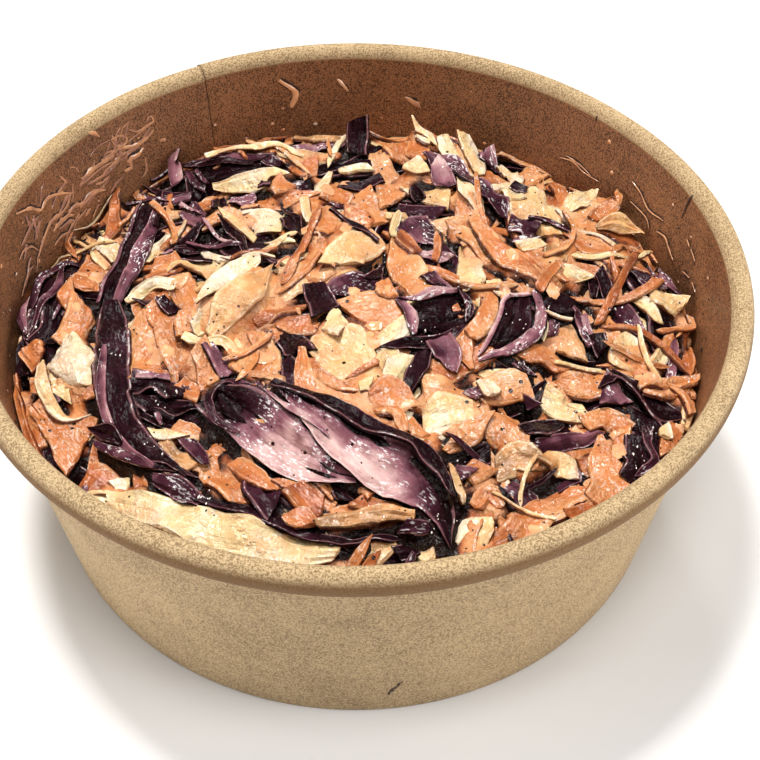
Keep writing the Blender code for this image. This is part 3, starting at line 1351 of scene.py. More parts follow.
@dataclass
class Shred:
    """One piece of vegetable, in millimetres as it is seen from above.

    width and tone are each one number, or several that follow its length. tone runs from
    the finish's darkest colour at 0 to its palest at 1, and tone_end is the tone at its
    other end. ends says how blunt each end is, cup arches it across, roll tips it about its
    length in degrees, rise lifts its two ends, sink presses it into what lies below, and
    lean shades it from one side to the other. What is left out follows from its kind.
    """

    kind: Vegetable
    path: tuple[tuple[float, float], ...]
    width: float | tuple[float, ...]
    tone: float | tuple[float, ...] = 0.5
    tone_end: float | None = None
    thick: float | None = None
    ends: tuple[float, float] | None = None
    cup: float = 0.0
    roll: float = 0.0
    rise: tuple[float, float] = (0.0, 0.0)
    ragged: float | None = None
    ruffle: float | None = None
    limp: float | None = None
    pleat: float | None = None
    sink: float = 0.3
    edge: float = 1.0
    lean: float | None = None

    def __post_init__(self) -> None:
        """Takes from its kind whatever was left out."""
        nature = NATURES[self.kind]
        for name in ("thick", "limp", "ruffle", "ragged", "pleat"):
            if getattr(self, name) is None:
                setattr(self, name, getattr(nature, name))
        if self.tone_end is not None:
            self.tone = (self.tone, self.tone_end)


C, R, W = Vegetable.CARROT, Vegetable.RED_CABBAGE, Vegetable.WHITE_CABBAGE
SQUARE_ENDS = (0.85, 0.95, 1.0)
SLIM_ENDS = (0.08, 0.5, 0.85, 1.0)

# Near-black red cabbage laid in the gaps: dark leaf, and painted shade of the hollows between the shreds.
HOLLOW_SHADE_LEAVES = (
    Shred(R, ((-47, 43), (-37, 46), (-27, 47), (-18, 48)), (7, 9, 8, 6), 0.0),
    Shred(R, ((-36, 22), (-26, 20), (-18, 20)), 8, 0.02),
    Shred(R, ((-63, 12), (-63, 0), (-60, -12)), 8, 0.02),
    Shred(R, ((-60, -16), (-57, -24)), 6, 0.0),
    Shred(R, ((-58, -28), (-52, -37), (-46, -40)), 7, 0.0),
    Shred(R, ((-40, -22), (-34, -28), (-30, -30)), 9, 0.0),
    Shred(R, ((-38, -35), (-34, -40), (-28, -43)), 5, 0.0),
    Shred(R, ((-18, -44), (-12, -49), (-2, -54), (8, -57)), 4.4, 0.0),
    Shred(R, ((-3, -45), (6, -48), (13, -53)), 6, 0.02),
    Shred(R, ((18, -38), (25, -34)), 5, 0.0),
    Shred(R, ((30, -32), (40, -27)), 6, 0.0),
    Shred(R, ((47, -20), (55, -26), (52, -37)), 8, 0.0),
    Shred(R, ((34, -49), (40, -46)), 5, 0.0),
    Shred(R, ((24, 12), (30, 6), (38, 2), (45, 0)), 7, 0.0),
    Shred(R, ((56, 14), (60, 4), (61, -8)), 7, 0.02),
    Shred(R, ((-10, 1), (2, 2), (12, -9)), 6, 0.02),
    Shred(R, ((-8, 47), (2, 50), (4, 56)), 7, 0.0),
    Shred(R, ((4, 34), (12, 33), (20, 30)), 6, 0.02),
    Shred(R, ((-36, 10), (-33, 8)), 5, 0.0),
)

# Laid in this order, so a later shred lies on an earlier one. Millimetres, seen from above.
# Many of these places were printed by a measuring program. They weren't chosen by hand.
PLACED = (
    # Middle of the bowl.
    Shred(W, ((-20, 2), (-12, 7), (-4, 9), (0, 13)), 7, 0.45, 0.2),
    Shred(C, ((-7, 12), (-5, 17), (-8, 24)), 6.5, 0.6),
    Shred(W, ((-4, 10), (-1, 15), (3, 19)), 6.5, 0.5, 0.3),
    Shred(C, ((-16, -5), (-10, -5), (-4, -3)), 5, 0.35),
    Shred(C, ((-20, -5), (-15, -2), (-10, 0)), 3.4, 0.3),
    Shred(C, ((-1, -3), (4, -2), (9, -5)), 8, 0.55),
    Shred(W, ((-5, -9), (-2, -15), (0, -22)), (8, 12, 9), 0.35, 0.5, cup=-0.05),
    Shred(W, ((-3, -4), (-5, -10)), 4, 0.85),
    Shred(W, ((4, -11), (8, -8), (10, -6)), 4.5, 0.85),
    Shred(W, ((8, -12), (6, -16), (5, -22)), 4.5, 0.7),
    Shred(C, ((14, -20), (18, -15), (26, -11)), 6.5, 0.35),
    Shred(C, ((13, -23), (24, -24)), 6, 0.75),
    Shred(C, ((5, 5), (6, 0)), 3.4, 0.6),
    Shred(C, ((8, 22), (9, 14), (11, 6), (13, 1)), (3, 6, 6.5, 4), 0.95, 0.6),
    Shred(C, ((8, 22), (12, 17)), 4, 0.1),
    Shred(R, ((14, 7), (17, 3)), 4.5, 0.5),
    Shred(W, ((-14, 10), (-10, 15)), (3.4, 1), 0.8),
    Shred(R, ((-4, 2), (0, 6), (5, 9)), 6, 0.55, 0.35),
    Shred(R, ((3, 8), (5, 14)), (4, 0.8), 0.05),
    Shred(R, ((-8.5, 5), (-6, -4)), 5.5, 0.12, 0.3, cup=0.1),
    Shred(R, ((17, 22), (19, 16), (19, 10)), (3, 3.6, 1.5), 0.4),
    Shred(C, ((26.3, 11.6), (28.4, 8), (30.4, 4.7)), 3.6, 0.0, sink=0.9, edge=0.2),
    Shred(R, ((14, 18), (18, 14)), 3.2, 0.8),
    Shred(C, ((-20, -7), (-17, -12), (-16, -18), (-14, -26)), (3, 4.5, 5, 3), 0.7),
    Shred(W, ((-24, -8), (-22, -14), (-20, -20)), 2.8, 0.7),
    Shred(R, ((-13, -8), (-10, -14)), 5.2, 0.04, cup=0.12),
    Shred(R, ((-13, -15), (-11, -21), (-11, -26)), 4.6, 0.2),
    Shred(C, ((-9, -16), (-6, -21), (0, -23.5), (6, -23)), (2, 2.6, 2, 1), 0.5, edge=1.6),
    Shred(W, ((10.5, -13), (8, -17), (6, -21.5)), (3.5, 5, 3), 0.8),
    Shred(R, ((13.2, -12), (12, -17), (9.8, -24)), (3, 4.4, 2.4), 0.1, cup=-0.1),
    Shred(W, ((21.8, 22.5), (22.8, 13.6), (23, 5), (24, -1.6)), (3, 4.6, 5.2, 2.6), 0.62, 0.74, lean=0.1),
    Shred(C, ((26.9, -0.4), (24.5, -5.4), (20.8, -8), (20.4, -11.3), (22.1, -16.6)),
          (2.2, 3.4, 4, 3.6, 1.6), 0.5),
    Shred(R, ((4.7, -12.6), (11.3, -9.8), (17.5, -9), (21.2, -6.5)), (1.2, 2.2, 2.4, 1.2), 0.2),
    Shred(R, ((15.8, -10), (17.6, -13), (18.4, -17.5)), (4.4, 5.2, 1.6), 0.58, 0.78, cup=-0.08, lean=0.15),
    # The cup's near-black middle: dark leaf with the painted shade of its hollow.
    Shred(R, ((11.2, -4), (16, -3.2), (20.8, -2.2)), (6.4, 8, 6.4), 0.0, ends=(0.95, 0.9), sink=0.5,
          pleat=0.6, edge=0.4),
    Shred(R, ((8, -1), (10.2, -4), (11.4, -9.2)), (1.2, 2.4, 1.8), 0.7, thick=1.1, sink=0.0, lean=0.2),
    Shred(R, ((8, -1.6), (14, -0.2), (20, 2)), (1.2, 2.8, 1.4), 0.8, thick=1.1, sink=0.0, roll=12),
    Shred(R, ((19.8, 1.8), (21.8, -1.5), (21.2, -6.2)), (1, 1.8, 1.2), 0.3, thick=1.2, sink=0.0),
    # Left of the middle.
    Shred(R, ((-60, 20), (-61, 10), (-62, 0), (-62, -8)), (5, 8, 8, 5), 0.1),
    Shred(R, ((-68, 8), (-67, 0), (-65, -5)), (1, 2.4, 1.4), 0.6, lean=0.2),
    Shred(R, ((-60, 0), (-60, -4), (-62, -8)), 5, 0.05),
    Shred(R, ((-65.5, 2), (-64.6, 12), (-61.6, 20), (-57.4, 18.4)), (1.2, 2.6, 2.4, 1),
          (0.2, 0.5, 0.4, 0.2), cup=0.1),
    Shred(R, ((-62, 16), (-61, 8), (-62.6, 0), (-64, -6)), (0.8, 1.6, 1.8, 0.9), (0.3, 0.62, 0.5, 0.3)),
    Shred(R, ((-59.4, 12), (-58.6, 5), (-60, -3)), (0.6, 1, 0.6), 0.5),
    Shred(C, ((-56, 21), (-55, 13), (-55, 6)), (3, 6, 7), 0.5),
    Shred(C, ((-58, 8), (-58, 2), (-56, -1)), 3.2, 0.5),
    Shred(C, ((-55, 2), (-55, -4), (-57, -9)), 5.4, 0.55),
    Shred(W, ((-57, 25), (-54, 20), (-52, 17)), (2, 5, 3), 0.82),
    Shred(C, ((-41, 0), (-39, -8), (-39, -18)), (8, 12, 10), 0.6, 0.45, cup=0.05),
    Shred(C, ((-36, -5), (-33, -12), (-30, -20)), 7.5, 0.5),
    Shred(C, ((-37, 7), (-33, 1), (-32, -9)), 5.4, 0.65),
    Shred(C, ((-42, 12), (-37, 16)), 4.4, 0.5),
    Shred(C, ((-42, 7), (-36, 10)), 4.2, 0.35),
    Shred(W, ((-38, 7), (-36, 13), (-31, 13), (-28, 8)), (3, 4, 4, 3), 0.45),
    Shred(W, ((-46, 2), (-41, 5), (-36, 4)), 2.6, 0.9),
    Shred(R, ((-39, 1.5), (-35.5, -3)), 2.6, 0.25),
    Shred(W, ((-31, -9), (-28.5, -5), (-28, 0)), (3.5, 5, 3.5), 0.8),
    Shred(W, ((-31, -4.5), (-28, 0.5), (-23.4, 5.4), (-19.6, 9)), (2.4, 5, 5.4, 1.4),
          (0.8, 1.0, 1.0, 0.9), thick=1.4,
          pleat=0.1, ragged=0.05, sink=-0.7, lean=0.05),
    Shred(W, ((-28, -10.5), (-24.6, -4.6), (-20, 2), (-17, 8)), (3.4, 6.4, 6, 1.4), (0.46, 0.36, 0.30, 0.26),
          thick=1.4, cup=0.04, pleat=0.12, ragged=0.05, lean=0.1, sink=-0.5, ends=(0.6, 0.2)),
    Shred(R, ((-19, 10.6), (-16.4, 9)), 2.2, 0.3),
    Shred(W, ((-33, -10.5), (-29, -12), (-25, -11), (-22, -15)), 1.9, 0.7),
    Shred(C, ((-30, -13), (-28, -17), (-27, -21)), 4, 0.6),
    Shred(C, ((-33, -20), (-29, -24)), 3.4, 0.5),
    Shred(R, ((-28, -13), (-24, -19)), 3.2, 0.6),
    Shred(W, ((-33, 20), (-28, 15), (-22, 11)), 1.8, 0.92),
    Shred(R, ((-38, 22), (-34, 16), (-30, 14)), (2, 4.4, 2), 0.05),
    Shred(R, ((-30, 25), (-26, 18), (-22, 13)), (2.5, 4.6, 2), 0.08),
    Shred(R, ((-39, 25), (-38, 20), (-40, 16)), 1.7, 0.75),
    # Front left.
    Shred(W, ((-58, -12), (-57, -18), (-53, -24)), (3, 5, 2.5), 0.75, 0.6),
    Shred(C, ((-64, -9), (-61, -13)), 5, 0.4),
    Shred(C, ((-61, -20), (-58, -21)), 3.2, 0.6),
    Shred(R, ((-56, -32), (-53, -38)), 3.4, 0.05),
    Shred(C, ((-59.5, -26), (-58, -32)), 3.2, 0.35),
    Shred(C, ((-52, -28), (-48, -29)), 4.2, 0.5),
    Shred(C, ((-60, -23.5), (-55, -29), (-50, -36)), (3, 5, 7), 0.5),
    Shred(W, ((-60, -15), (-58, -22), (-54, -27), (-49, -26)), (1.5, 2.4, 2.6, 0.8), 0.78),
    Shred(W, ((-56, -9), (-54, -15), (-51, -21)), (4, 9, 5), 1.0, 0.9, cup=0.14),
    Shred(C, ((-48, -39), (-44.5, -42)), 6.5, 0.25),
    Shred(W, ((-42, -40.5), (-40, -42)), 3, 0.98),
    Shred(C, ((-30, -33), (-25, -37), (-22, -42), (-19, -48)), (6, 8.5, 8, 4), 0.6, 0.45),
    Shred(C, ((-33, -31), (-28, -32.5)), 4.2, 0.65),
    Shred(W, ((-35, -36), (-32, -39), (-28, -40)), 6, 0.12),
    Shred(R, ((-30, -34), (-28, -37), (-26, -40)), 2.6, 0.5),
    Shred(W, ((-38.5, -33), (-34, -33.5), (-29.5, -33.5)), (3.6, 2.6, 0.8), 0.8),
    Shred(R, ((-41, -24), (-36, -26), (-30, -26), (-27, -27)), (5, 5.5, 3, 1), 0.1),
    Shred(R, ((-42, -20), (-36, -21), (-32, -24)), 5, 0.15),
    Shred(R, ((-41, -19), (-35, -18.5)), 1.6, 0.7),
    Shred(R, ((-38, -28), (-33, -29.5)), 3, 0.06),
    Shred(R, ((-36, -28.5), (-35, -31)), 1, 0.7),
    # Front: the broad pale rib along the rim, with its violet edge.
    Shred(W, ((-45, -44), (-38, -47), (-30, -51), (-20, -54.5), (-10, -57), (-2, -58)),
          (3, 5.5, 6.5, 7, 6, 3), 0.84, 0.76, thick=2.2, ragged=0.05, lean=-0.05, sink=-0.2),
    Shred(R, ((-35, -43), (-30, -45.5), (-26, -48)), (2, 4.4, 3), 0.5),
    Shred(R, ((-27, -47.5), (-18, -50.5), (-10, -53.5), (-2, -57)), (1.5, 3, 2.8, 1.4), 0.28, roll=-14),
    Shred(R, ((-35, -41), (-30, -42), (-27, -43)), 1.6, 0.1),
    Shred(R, ((-15, -40), (-16, -45), (-13, -49)), (4, 7, 6), 0.42),
    Shred(C, ((-21, -38), (-16, -43.5), (-13, -46)), (3, 5, 2), 0.5),
    Shred(C, ((-13, -43.5), (-8, -46), (-3, -48.6)), (2, 4.6, 3), 0.45),
    Shred(C, ((-10, -45), (-5, -49)), 5, 0.15),
    Shred(C, ((-10, -50), (-7, -53)), 4.6, 0.35),
    Shred(C, ((-3, -51), (1, -50)), 4.6, 0.45),
    Shred(C, ((1, -47.5), (6, -49), (11, -51)), 3, 0.2),
    Shred(W, ((3, -50), (8, -50.5)), 2, 0.5),
    Shred(C, ((-9, -42), (-5, -44), (-3, -47)), (2.6, 2.6, 1), 0.65),
    Shred(C, ((0, -42), (3, -44), (4, -46)), (2, 4.6, 3), 0.45),
    Shred(R, ((-3, -45), (-1, -47)), 2.6, 0.08),
    Shred(W, ((1, -58), (4, -57), (8, -55)), (3, 4.6, 2), 0.5),
    Shred(W, ((12, -57), (14.5, -54.5)), 3.4, 0.6),
    Shred(R, ((8, -57), (11, -56)), 2.6, 0.15),
    Shred(R, ((-5, -56), (0, -56.5), (4, -55), (9, -54)), 1.6, 0.06),
    Shred(W, ((-5.5, -53.4), (0, -52.6), (5, -51.6), (11, -51.4)), (2, 3, 3, 1.6), 0.06, 0.16, thick=1.6,
          roll=-6,
          sink=-0.4, edge=0.5),
    Shred(R, ((9, -53.5), (13.5, -53)), 2.6, 0.35),
    # Front right.
    Shred(C, ((23, -22), (28, -20), (33, -19)), 6, 0.85),
    Shred(C, ((27, -26), (29, -31), (31, -34)), (7, 8, 4), 0.65),
    Shred(C, ((-10, -14), (-9, -22), (-5, -29), (2, -33), (10, -33.5)), (2.4, 4, 5.5, 6, 3.5), 0.6, 0.5),
    Shred(C, ((4, -31), (7, -31)), 5, 0.08),
    Shred(C, ((10, -30), (12.5, -33)), 3.4, 0.6),
    Shred(W, ((1, -23), (3.5, -22)), 4, 0.62),
    Shred(C, ((3, -26), (7, -24), (11, -25)), (3, 6.5, 4), 0.5),
    Shred(C, ((4, -29), (8, -29), (9.5, -33)), 2.4, 0.6),
    Shred(W, ((13, -30), (18, -28), (22, -27)), (6, 8.5, 4), 0.8, 0.75),
    Shred(W, ((10, -34.5), (17, -34)), 2.4, 0.88),
    Shred(C, ((17, -35), (22, -31), (26, -27)), (3, 4.4, 3), 0.65),
    Shred(C, ((12, -35), (15, -36.5)), 3.4, 0.15),
    Shred(C, ((21, -41), (24, -38)), 4, 0.6),
    Shred(R, ((18, -40), (21, -41)), 3, 0.55),
    Shred(W, ((26, -38), (30, -35.5), (34, -38)), (4, 6, 4), 0.1),
    Shred(R, ((28, -41), (31, -43), (33, -44)), 3.4, 0.55),
    Shred(R, ((26, -43), (29, -47)), 1.8, 0.08),
    Shred(C, ((22, -47), (24, -43.5), (26.5, -47)), 2.8, 0.5),
    Shred(C, ((20, -55), (28, -53), (33, -48), (38, -44), (44, -42)), (4, 6.5, 6.5, 6, 4), 0.5, 0.6),
    Shred(W, ((19.5, -54), (22, -51.5), (25, -50)), (4.5, 6.8, 4), 0.74),
    Shred(C, ((38, -48), (42.5, -46)), 2.2, 0.3),
    Shred(R, ((33, -33), (38, -31), (43, -29), (46, -27)), (3, 3.4, 3, 1.6), 0.5, 0.62),
    Shred(R, ((31, -31), (35, -28.5), (39, -26)), (2.5, 4, 2), 0.02),
    Shred(W, ((36, -19), (39, -22.5), (44, -23)), (4.5, 6.5, 4.5), 0.72, 0.6),
    Shred(C, ((43, -26), (47, -24.5), (51, -27)), (3, 4.6, 4), 0.8, 0.5),
    Shred(R, ((41, -35), (40.5, -38), (37, -41.5)), (3, 3, 1.5), 0.45),
    Shred(W, ((34.5, -35.5), (37.5, -36), (39, -39)), (4, 5, 3.5), 0.3, 0.78),
    Shred(C, ((50, -27), (49.5, -31), (48, -34)), (4, 3.4, 2), 0.45),
    Shred(C, ((46, -28), (45.5, -34), (46.5, -39), (43, -45)), (2, 5, 6.5, 4), 0.58),
    Shred(R, ((51.5, -30), (52, -35), (49, -40)), (3.5, 6, 3), 0.03, cup=0.14),
    Shred(R, ((55, -26), (54, -31), (55, -35), (51, -39)), 2, 0.45),
    Shred(C, ((61, -24), (59, -28), (56.5, -33)), 3.4, 0.4),
    Shred(W, ((58, -26), (58, -29)), 2.2, 0.85),
    # Right.
    Shred(W, ((66, -20), (64, -25)), 3, 0.6),
    Shred(C, ((31, 13), (32, 8), (34, 3)), 3.6, 0.65),
    Shred(W, ((27, 17), (28, 13)), 2.6, 0.8),
    Shred(C, ((27, 1), (25, -6), (22, -10)), 3.8, 0.6),
    Shred(W, ((27, 6), (28, 1)), 3, 0.9),
    Shred(W, ((37, 10), (42, 12.5), (48, 11)), 4.6, 0.78),
    Shred(C, ((40, -3), (41, -9)), 6.4, 0.88),
    Shred(R, ((39, -2), (38, -6)), 2.2, 0.55),
    Shred(W, ((37, -2), (36.5, -8)), 1.7, 0.92),
    Shred(C, ((45, 8), (48, 1), (50, -7)), (3, 5, 4), 0.72),
    Shred(R, ((45, 2), (46, -6)), 2, 0.75),
    Shred(R, ((42.5, 6), (44, 4), (44, 0), (46, -7)), 1.6, 0.55),
    Shred(R, ((47, -5), (48, -9)), 3, 0.1),
    Shred(C, ((31, -12), (36, -11), (40, -14)), (4, 5.4, 3), 0.5),
    Shred(R, ((31, -14), (32.5, -17)), 3, 0.3),
    Shred(C, ((40, -15), (44, -17), (49, -14)), (5, 7.5, 4), 0.62, cup=0.2),
    Shred(W, ((52, -5), (53, -10), (56, -13)), (5, 7.5, 4), 0.75, 0.6),
    Shred(R, ((52, 5), (54, 0), (56, -4)), (4, 5.4, 4), 0.55),
    Shred(W, ((54, 7), (58, 4), (60, 0)), 3.2, 0.75),
    Shred(W, ((58, -4), (60, -6), (58, -11)), 3.2, 0.7),
    Shred(W, ((59, 7), (63, 6), (66, 6)), 5, 0.6),
    Shred(C, ((63, -2), (61, -6)), 3.2, 0.6),
    Shred(R, ((61, 22), (62, 14), (62, 9)), 2.2, 0.55),
    Shred(R, ((63, 20), (65, 13), (66, 9)), 2.6, 0.5),
    Shred(R, ((57, 13), (59, 9)), 3.2, 0.3),
    Shred(R, ((49, 12), (50.5, 8), (51, 5)), 2.6, 0.15),
    Shred(R, ((63, -3), (62, -9), (60.5, -15)), 1.9, 0.65),
    Shred(C, ((66, -4), (66, -10)), 2.4, 0.3),
    Shred(R, ((47, -18.5), (50, -21.5)), 6, 0.6),
    Shred(R, ((46, -19), (50, -16.5), (53.5, -19)), 2, 0.12),
    Shred(R, ((49, -15.5), (54, -18.5), (58, -21), (62, -22)), (2, 4.4, 6, 3), 0.08),
    Shred(C, ((55, -17.5), (60, -19)), 3.2, 0.4),
    Shred(C, ((68, -11), (62, -14), (57, -16), (54, -17.5)), 2.4, 0.7),
    Shred(C, ((60, -15), (63, -18), (64, -22)), 2, 0.7),
    Shred(R, ((22, -21.5), (24, -23)), 3, 0.5),
    Shred(W, ((24.5, -20.5), (26, -23.5)), 3.4, 0.86),
    Shred(R, ((32, -22.5), (34, -23.5)), 2.2, 0.4),
    # Back right.
    Shred(C, ((42, 29), (47, 23), (53, 18.5), (59, 15)), (4, 7, 8.5, 5), 0.62, 0.5),
    Shred(W, ((36, 40), (37, 32.5), (40, 25)), (7, 10.5, 6), 0.52, 0.4, cup=0.06),
    Shred(R, ((31.5, 26), (37, 25)), 5.4, 0.5),
    Shred(R, ((32, 20.5), (38, 24)), 1.4, 0.6),
    Shred(W, ((33, 19), (38, 21.5)), 3, 0.78),
    Shred(W, ((40, 21), (41, 15)), 4.6, 0.15),
    Shred(C, ((29, 48), (30, 43)), 7, 0.5),
    Shred(C, ((36, 48), (38, 42)), 6.4, 0.72),
    Shred(C, ((42, 44), (44, 41), (44, 36)), 3.2, 0.45),
    Shred(W, ((31, 39.5), (34, 34.5)), 4.2, 0.75),
    Shred(W, ((33.5, 47), (35, 42)), 2.6, 0.85),
    Shred(W, ((27, 41), (35, 41)), 1.8, 0.92),
    Shred(R, ((33, 41), (36, 39.5)), 2.2, 0.3),
    Shred(W, ((50, 41), (47, 36.5), (46, 32.5)), (3, 5.6, 3), 0.65),
    Shred(W, ((57, 33.5), (52, 31.5), (47, 29.5)), 3.2, 0.1),
    Shred(W, ((45, 33), (48, 38), (51, 41)), (3, 5.4, 3), 0.72, ragged=0.05, rise=(0, 1.5)),
    Shred(C, ((50.4, 30.4), (53.4, 34.6), (56.6, 39)), (3.4, 4.6, 2.4), (0.3, 0.45, 0.6), rise=(0, 4),
          ragged=0.05,
          lean=-0.2),
    Shred(W, ((50.4, 28.6), (55.8, 31), (61.8, 29)), (2.2, 4.8, 1.2), (0.2, 0.36, 0.5), rise=(0, 2),
          ragged=0.05,
          ends=(0.5, 0.1)),
    Shred(W, ((42, 33), (46, 28), (50, 25), (54, 21)), 1, 0.97),
    # Back.
    Shred(C, ((3, 53), (5, 47), (8, 42)), 5.2, 0.75),
    Shred(C, ((7, 56), (9, 50)), 6, 0.45),
    Shred(C, ((13, 56), (12, 49)), 5, 0.4),
    Shred(C, ((-1, 38), (2, 32), (3, 26)), 7.2, 0.7),
    Shred(C, ((6, 41), (7, 34)), 5.2, 0.6),
    Shred(C, ((-3, 27), (2, 24)), 6, 0.55),
    Shred(C, ((19, 28), (22, 25), (26, 20)), 7, 0.88),
    Shred(C, ((-5, 40), (-6, 34)), 7, 0.5),
    Shred(R, ((-16, 53.5), (-9, 57), (0, 59.5)), (2, 5, 3), 0.7, rise=(0, 2)),
    Shred(W, ((-19, 50.5), (-12, 51.5), (-4, 53)), 4.2, 0.35),
    Shred(R, ((-10, 48), (2, 47.5)), 3.2, 0.02),
    Shred(W, ((-5, 45.5), (2, 46.5)), 2.2, 0.85),
    Shred(R, ((-1, 51), (-1, 58)), 4.8, 0.08, rise=(0, 4), cup=0.15, ends=(0.9, 0.95)),
    Shred(R, ((-5, 42.5), (0, 42), (4.5, 44)), 3.6, 0.2),
    Shred(W, ((-7, 45.5), (-8.5, 41), (-10, 36)), (2, 3.6, 4), 0.8),
    Shred(R, ((-5, 33), (-3, 31)), 5, 0.5),
    Shred(R, ((-17, 40), (-12, 43)), 3, 0.3),
    Shred(R, ((-15, 37), (-13, 35)), 4, 0.05),
    Shred(R, ((-17, 41), (-13, 39), (-11, 41)), 1.7, 0.7),
    Shred(C, ((-15, 45), (-10, 49)), 5, 0.25),
    Shred(W, ((18, 57), (20, 51), (24, 44)), (3, 4.4, 3), 0.8, rise=(3, 0), limp=0.02),
    Shred(W, ((23, 58.5), (25, 53), (26.5, 45)), (3.6, 4.6, 3), 0.86, rise=(4, 0), limp=0.02,
          ends=(0.9, 0.5)),
    Shred(R, ((28, 56), (29, 50)), 4.6, 0.8, 0.3, rise=(0.8, 0)),
    Shred(W, ((31, 52), (33, 49)), 3, 0.5),
    Shred(W, ((10, 46), (14, 45)), 4.6, 0.8),
    Shred(W, ((12, 56), (15, 54)), 2.6, 0.9),
    Shred(W, ((11, 63), (14, 58), (16.5, 53)), (2, 4.2, 4), 0.85, rise=(4, 0)),
    Shred(W, ((12, 39), (17, 35), (19, 33)), 5.2, 0.45),
    Shred(R, ((11, 39), (13, 35)), 2.8, 0.05),
    Shred(R, ((8, 32), (13, 30), (17, 29)), 3.8, 0.45),
    Shred(W, ((5.5, 29), (10, 29.5)), 2.2, 0.5),
    Shred(R, ((9, 26.5), (16, 23.5)), (5, 7, 4), 0.5),
    Shred(W, ((20.5, 41), (23, 35), (26, 28)), (2, 5, 3), 0.82),
    Shred(C, ((-11, 32), (-9, 26), (-5, 20)), (2, 5, 7), 0.65),
    Shred(W, ((-12, 33), (-11, 27), (-9, 22)), 2, 0.75),
    Shred(W, ((-24, 30), (-20, 27), (-16, 24)), (4, 8, 6), 0.97, 0.85),
    Shred(R, ((-14.5, 26.5), (-13.5, 20)), 4.2, 0.04),
    Shred(R, ((-6, 26), (0, 22.5), (4, 18)), 1.3, 0.03),
    Shred(R, ((14.5, 50.5), (19, 45), (25, 38.5), (29, 32), (30, 27)), (3, 6, 5.4, 5, 2), 0.6, 0.35,
          cup=-0.08),
    Shred(R, ((16, 45), (18, 39), (19, 36)), (3, 4.4, 3), 0.86, 0.6),
    Shred(C, ((18, 27), (23, 21), (27, 14)), (2.2, 3.4, 2.2), 0.8),
    Shred(C, ((23, 26.4), (26.4, 19.6), (32.6, 10.4), (40, 3.6)), (2.4, 4.2, 4.6, 2.4),
          (0.66, 0.55, 0.4, 0.34),
          ragged=0.06, lean=-0.12, thick=1.5, sink=-0.5),
    # Back left.
    Shred(C, ((-24, 34), (-17, 34.5), (-9, 35.5)), 3.8, 0.45),
    Shred(C, ((-19, 39.5), (-16, 35.5)), 4.6, 0.55),
    Shred(C, ((-40, 28), (-36, 26)), 4.6, 0.6),
    Shred(C, ((-34, 27.5), (-28, 30), (-25, 25)), 3.8, 0.8),
    Shred(C, ((-32.5, 38), (-35, 32)), 4.6, 0.5),
    Shred(W, ((-48, 34), (-47, 30)), 2.8, 0.7),
    Shred(R, ((-37, 33), (-34, 28.5)), 3.8, 0.6),
    Shred(R, ((-31, 37), (-30, 32)), 3.4, 0.15),
    Shred(R, ((-28.5, 38), (-23, 38)), 5, 0.7),
    Shred(R, ((-22, 38.5), (-19.5, 38.5)), 3.4, 0.35),
    Shred(R, ((-38, 48), (-36, 42)), 4.4, 0.06),
    Shred(W, ((-33, 43.6), (-27, 43), (-21, 43.2), (-17.6, 42.4)), (1.4, 4, 4.8, 3),
          (0.72, 0.85, 0.95, 0.7), lean=0.1),
    Shred(C, ((-35.5, 36.5), (-32, 41.5)), (4, 2.6), 0.45),
    Shred(R, ((-41.3, 42.5), (-37.3, 36.8), (-33.9, 31.8)), (2, 3.4, 2.4), 0.35, 0.6),
    Shred(R, ((-39.5, 37.5), (-36.5, 33.5)), 1.2, 0.85),
    Shred(R, ((-39.8, 50), (-37.3, 45.6), (-34.6, 42.4)), (1.2, 1.5, 1), 0.4),
    Shred(R, ((-37.4, 48.5), (-34.5, 44.5)), 0.9, 0.55),
    Shred(R, ((-41.5, 52.5), (-34.7, 50.6), (-28.6, 49.4), (-21.6, 48.6)), (1.3, 2, 2, 1.3), 0.42, 0.5),
    Shred(R, ((-40, 50), (-33, 48.4), (-24, 47.4)), (0.8, 1.3, 0.9), 0.22),
    Shred(R, ((-21, 48.2), (-18.4, 45.6)), 3, 0.35),
    Shred(R, ((-50, 47.5), (-45, 44.8), (-40.5, 43.8), (-37.4, 43.4)), (0.9, 1.6, 1.6, 1), 0.25),
    Shred(R, ((-51.4, 47.6), (-48.4, 43.2), (-42.4, 41.2), (-38, 42.6)), (1, 1.9, 2.2, 1.8), 0.5, 0.62),
    Shred(R, ((-49.3, 50), (-44.1, 51.6)), 0.8, 0.5, rise=(1, 1)),
    Shred(R, ((-42.9, 54), (-42.2, 50), (-41.2, 46)), 3.1, 0.82, 0.72, rise=(3, 0), ends=(0.95, 0.9),
          limp=0.01,
          pleat=0.1, lean=0.08),
    Shred(C, ((-54.4, 42), (-53.8, 34), (-53.4, 28), (-56, 25)), (1.8, 2.4, 3.4, 2.4), (0.45, 0.3, 0.3, 0.12),
          rise=(5.5, 0), ends=(0.9, 0.6), ragged=0.05),
    Shred(W, ((-56, 25.2), (-52.8, 22.4), (-51, 18.4)), (3, 5, 2.6), 0.8, lean=-0.1),
    Shred(W, ((-50.2, 36.2), (-48, 39.4)), 2.2, 0.92),
    Shred(W, ((-43, 14.5), (-41.6, 20), (-40.6, 25.5)), (2.2, 3.8, 2.2), 0.74),
    Shred(R, ((-40.1, 16.9), (-36.6, 22.8), (-32.9, 28.4)), (1.2, 2.8, 1.2), 0.12),
    Shred(R, ((-38.5, 17.5), (-33.5, 21.6), (-29, 24.6), (-24.6, 20)), (1, 2.4, 2.6, 1), 0.3),
    Shred(R, ((-30.5, 30), (-27, 24.6), (-22.4, 13.6)), (1, 2.8, 0.9), 0.1),
    Shred(R, ((-33.4, 28.4), (-28.6, 22), (-25.4, 17.4)), 0.8, 0.85),
    Shred(R, ((-36.4, 21.6), (-30, 19.6), (-24.4, 17)), 1, 0.6),
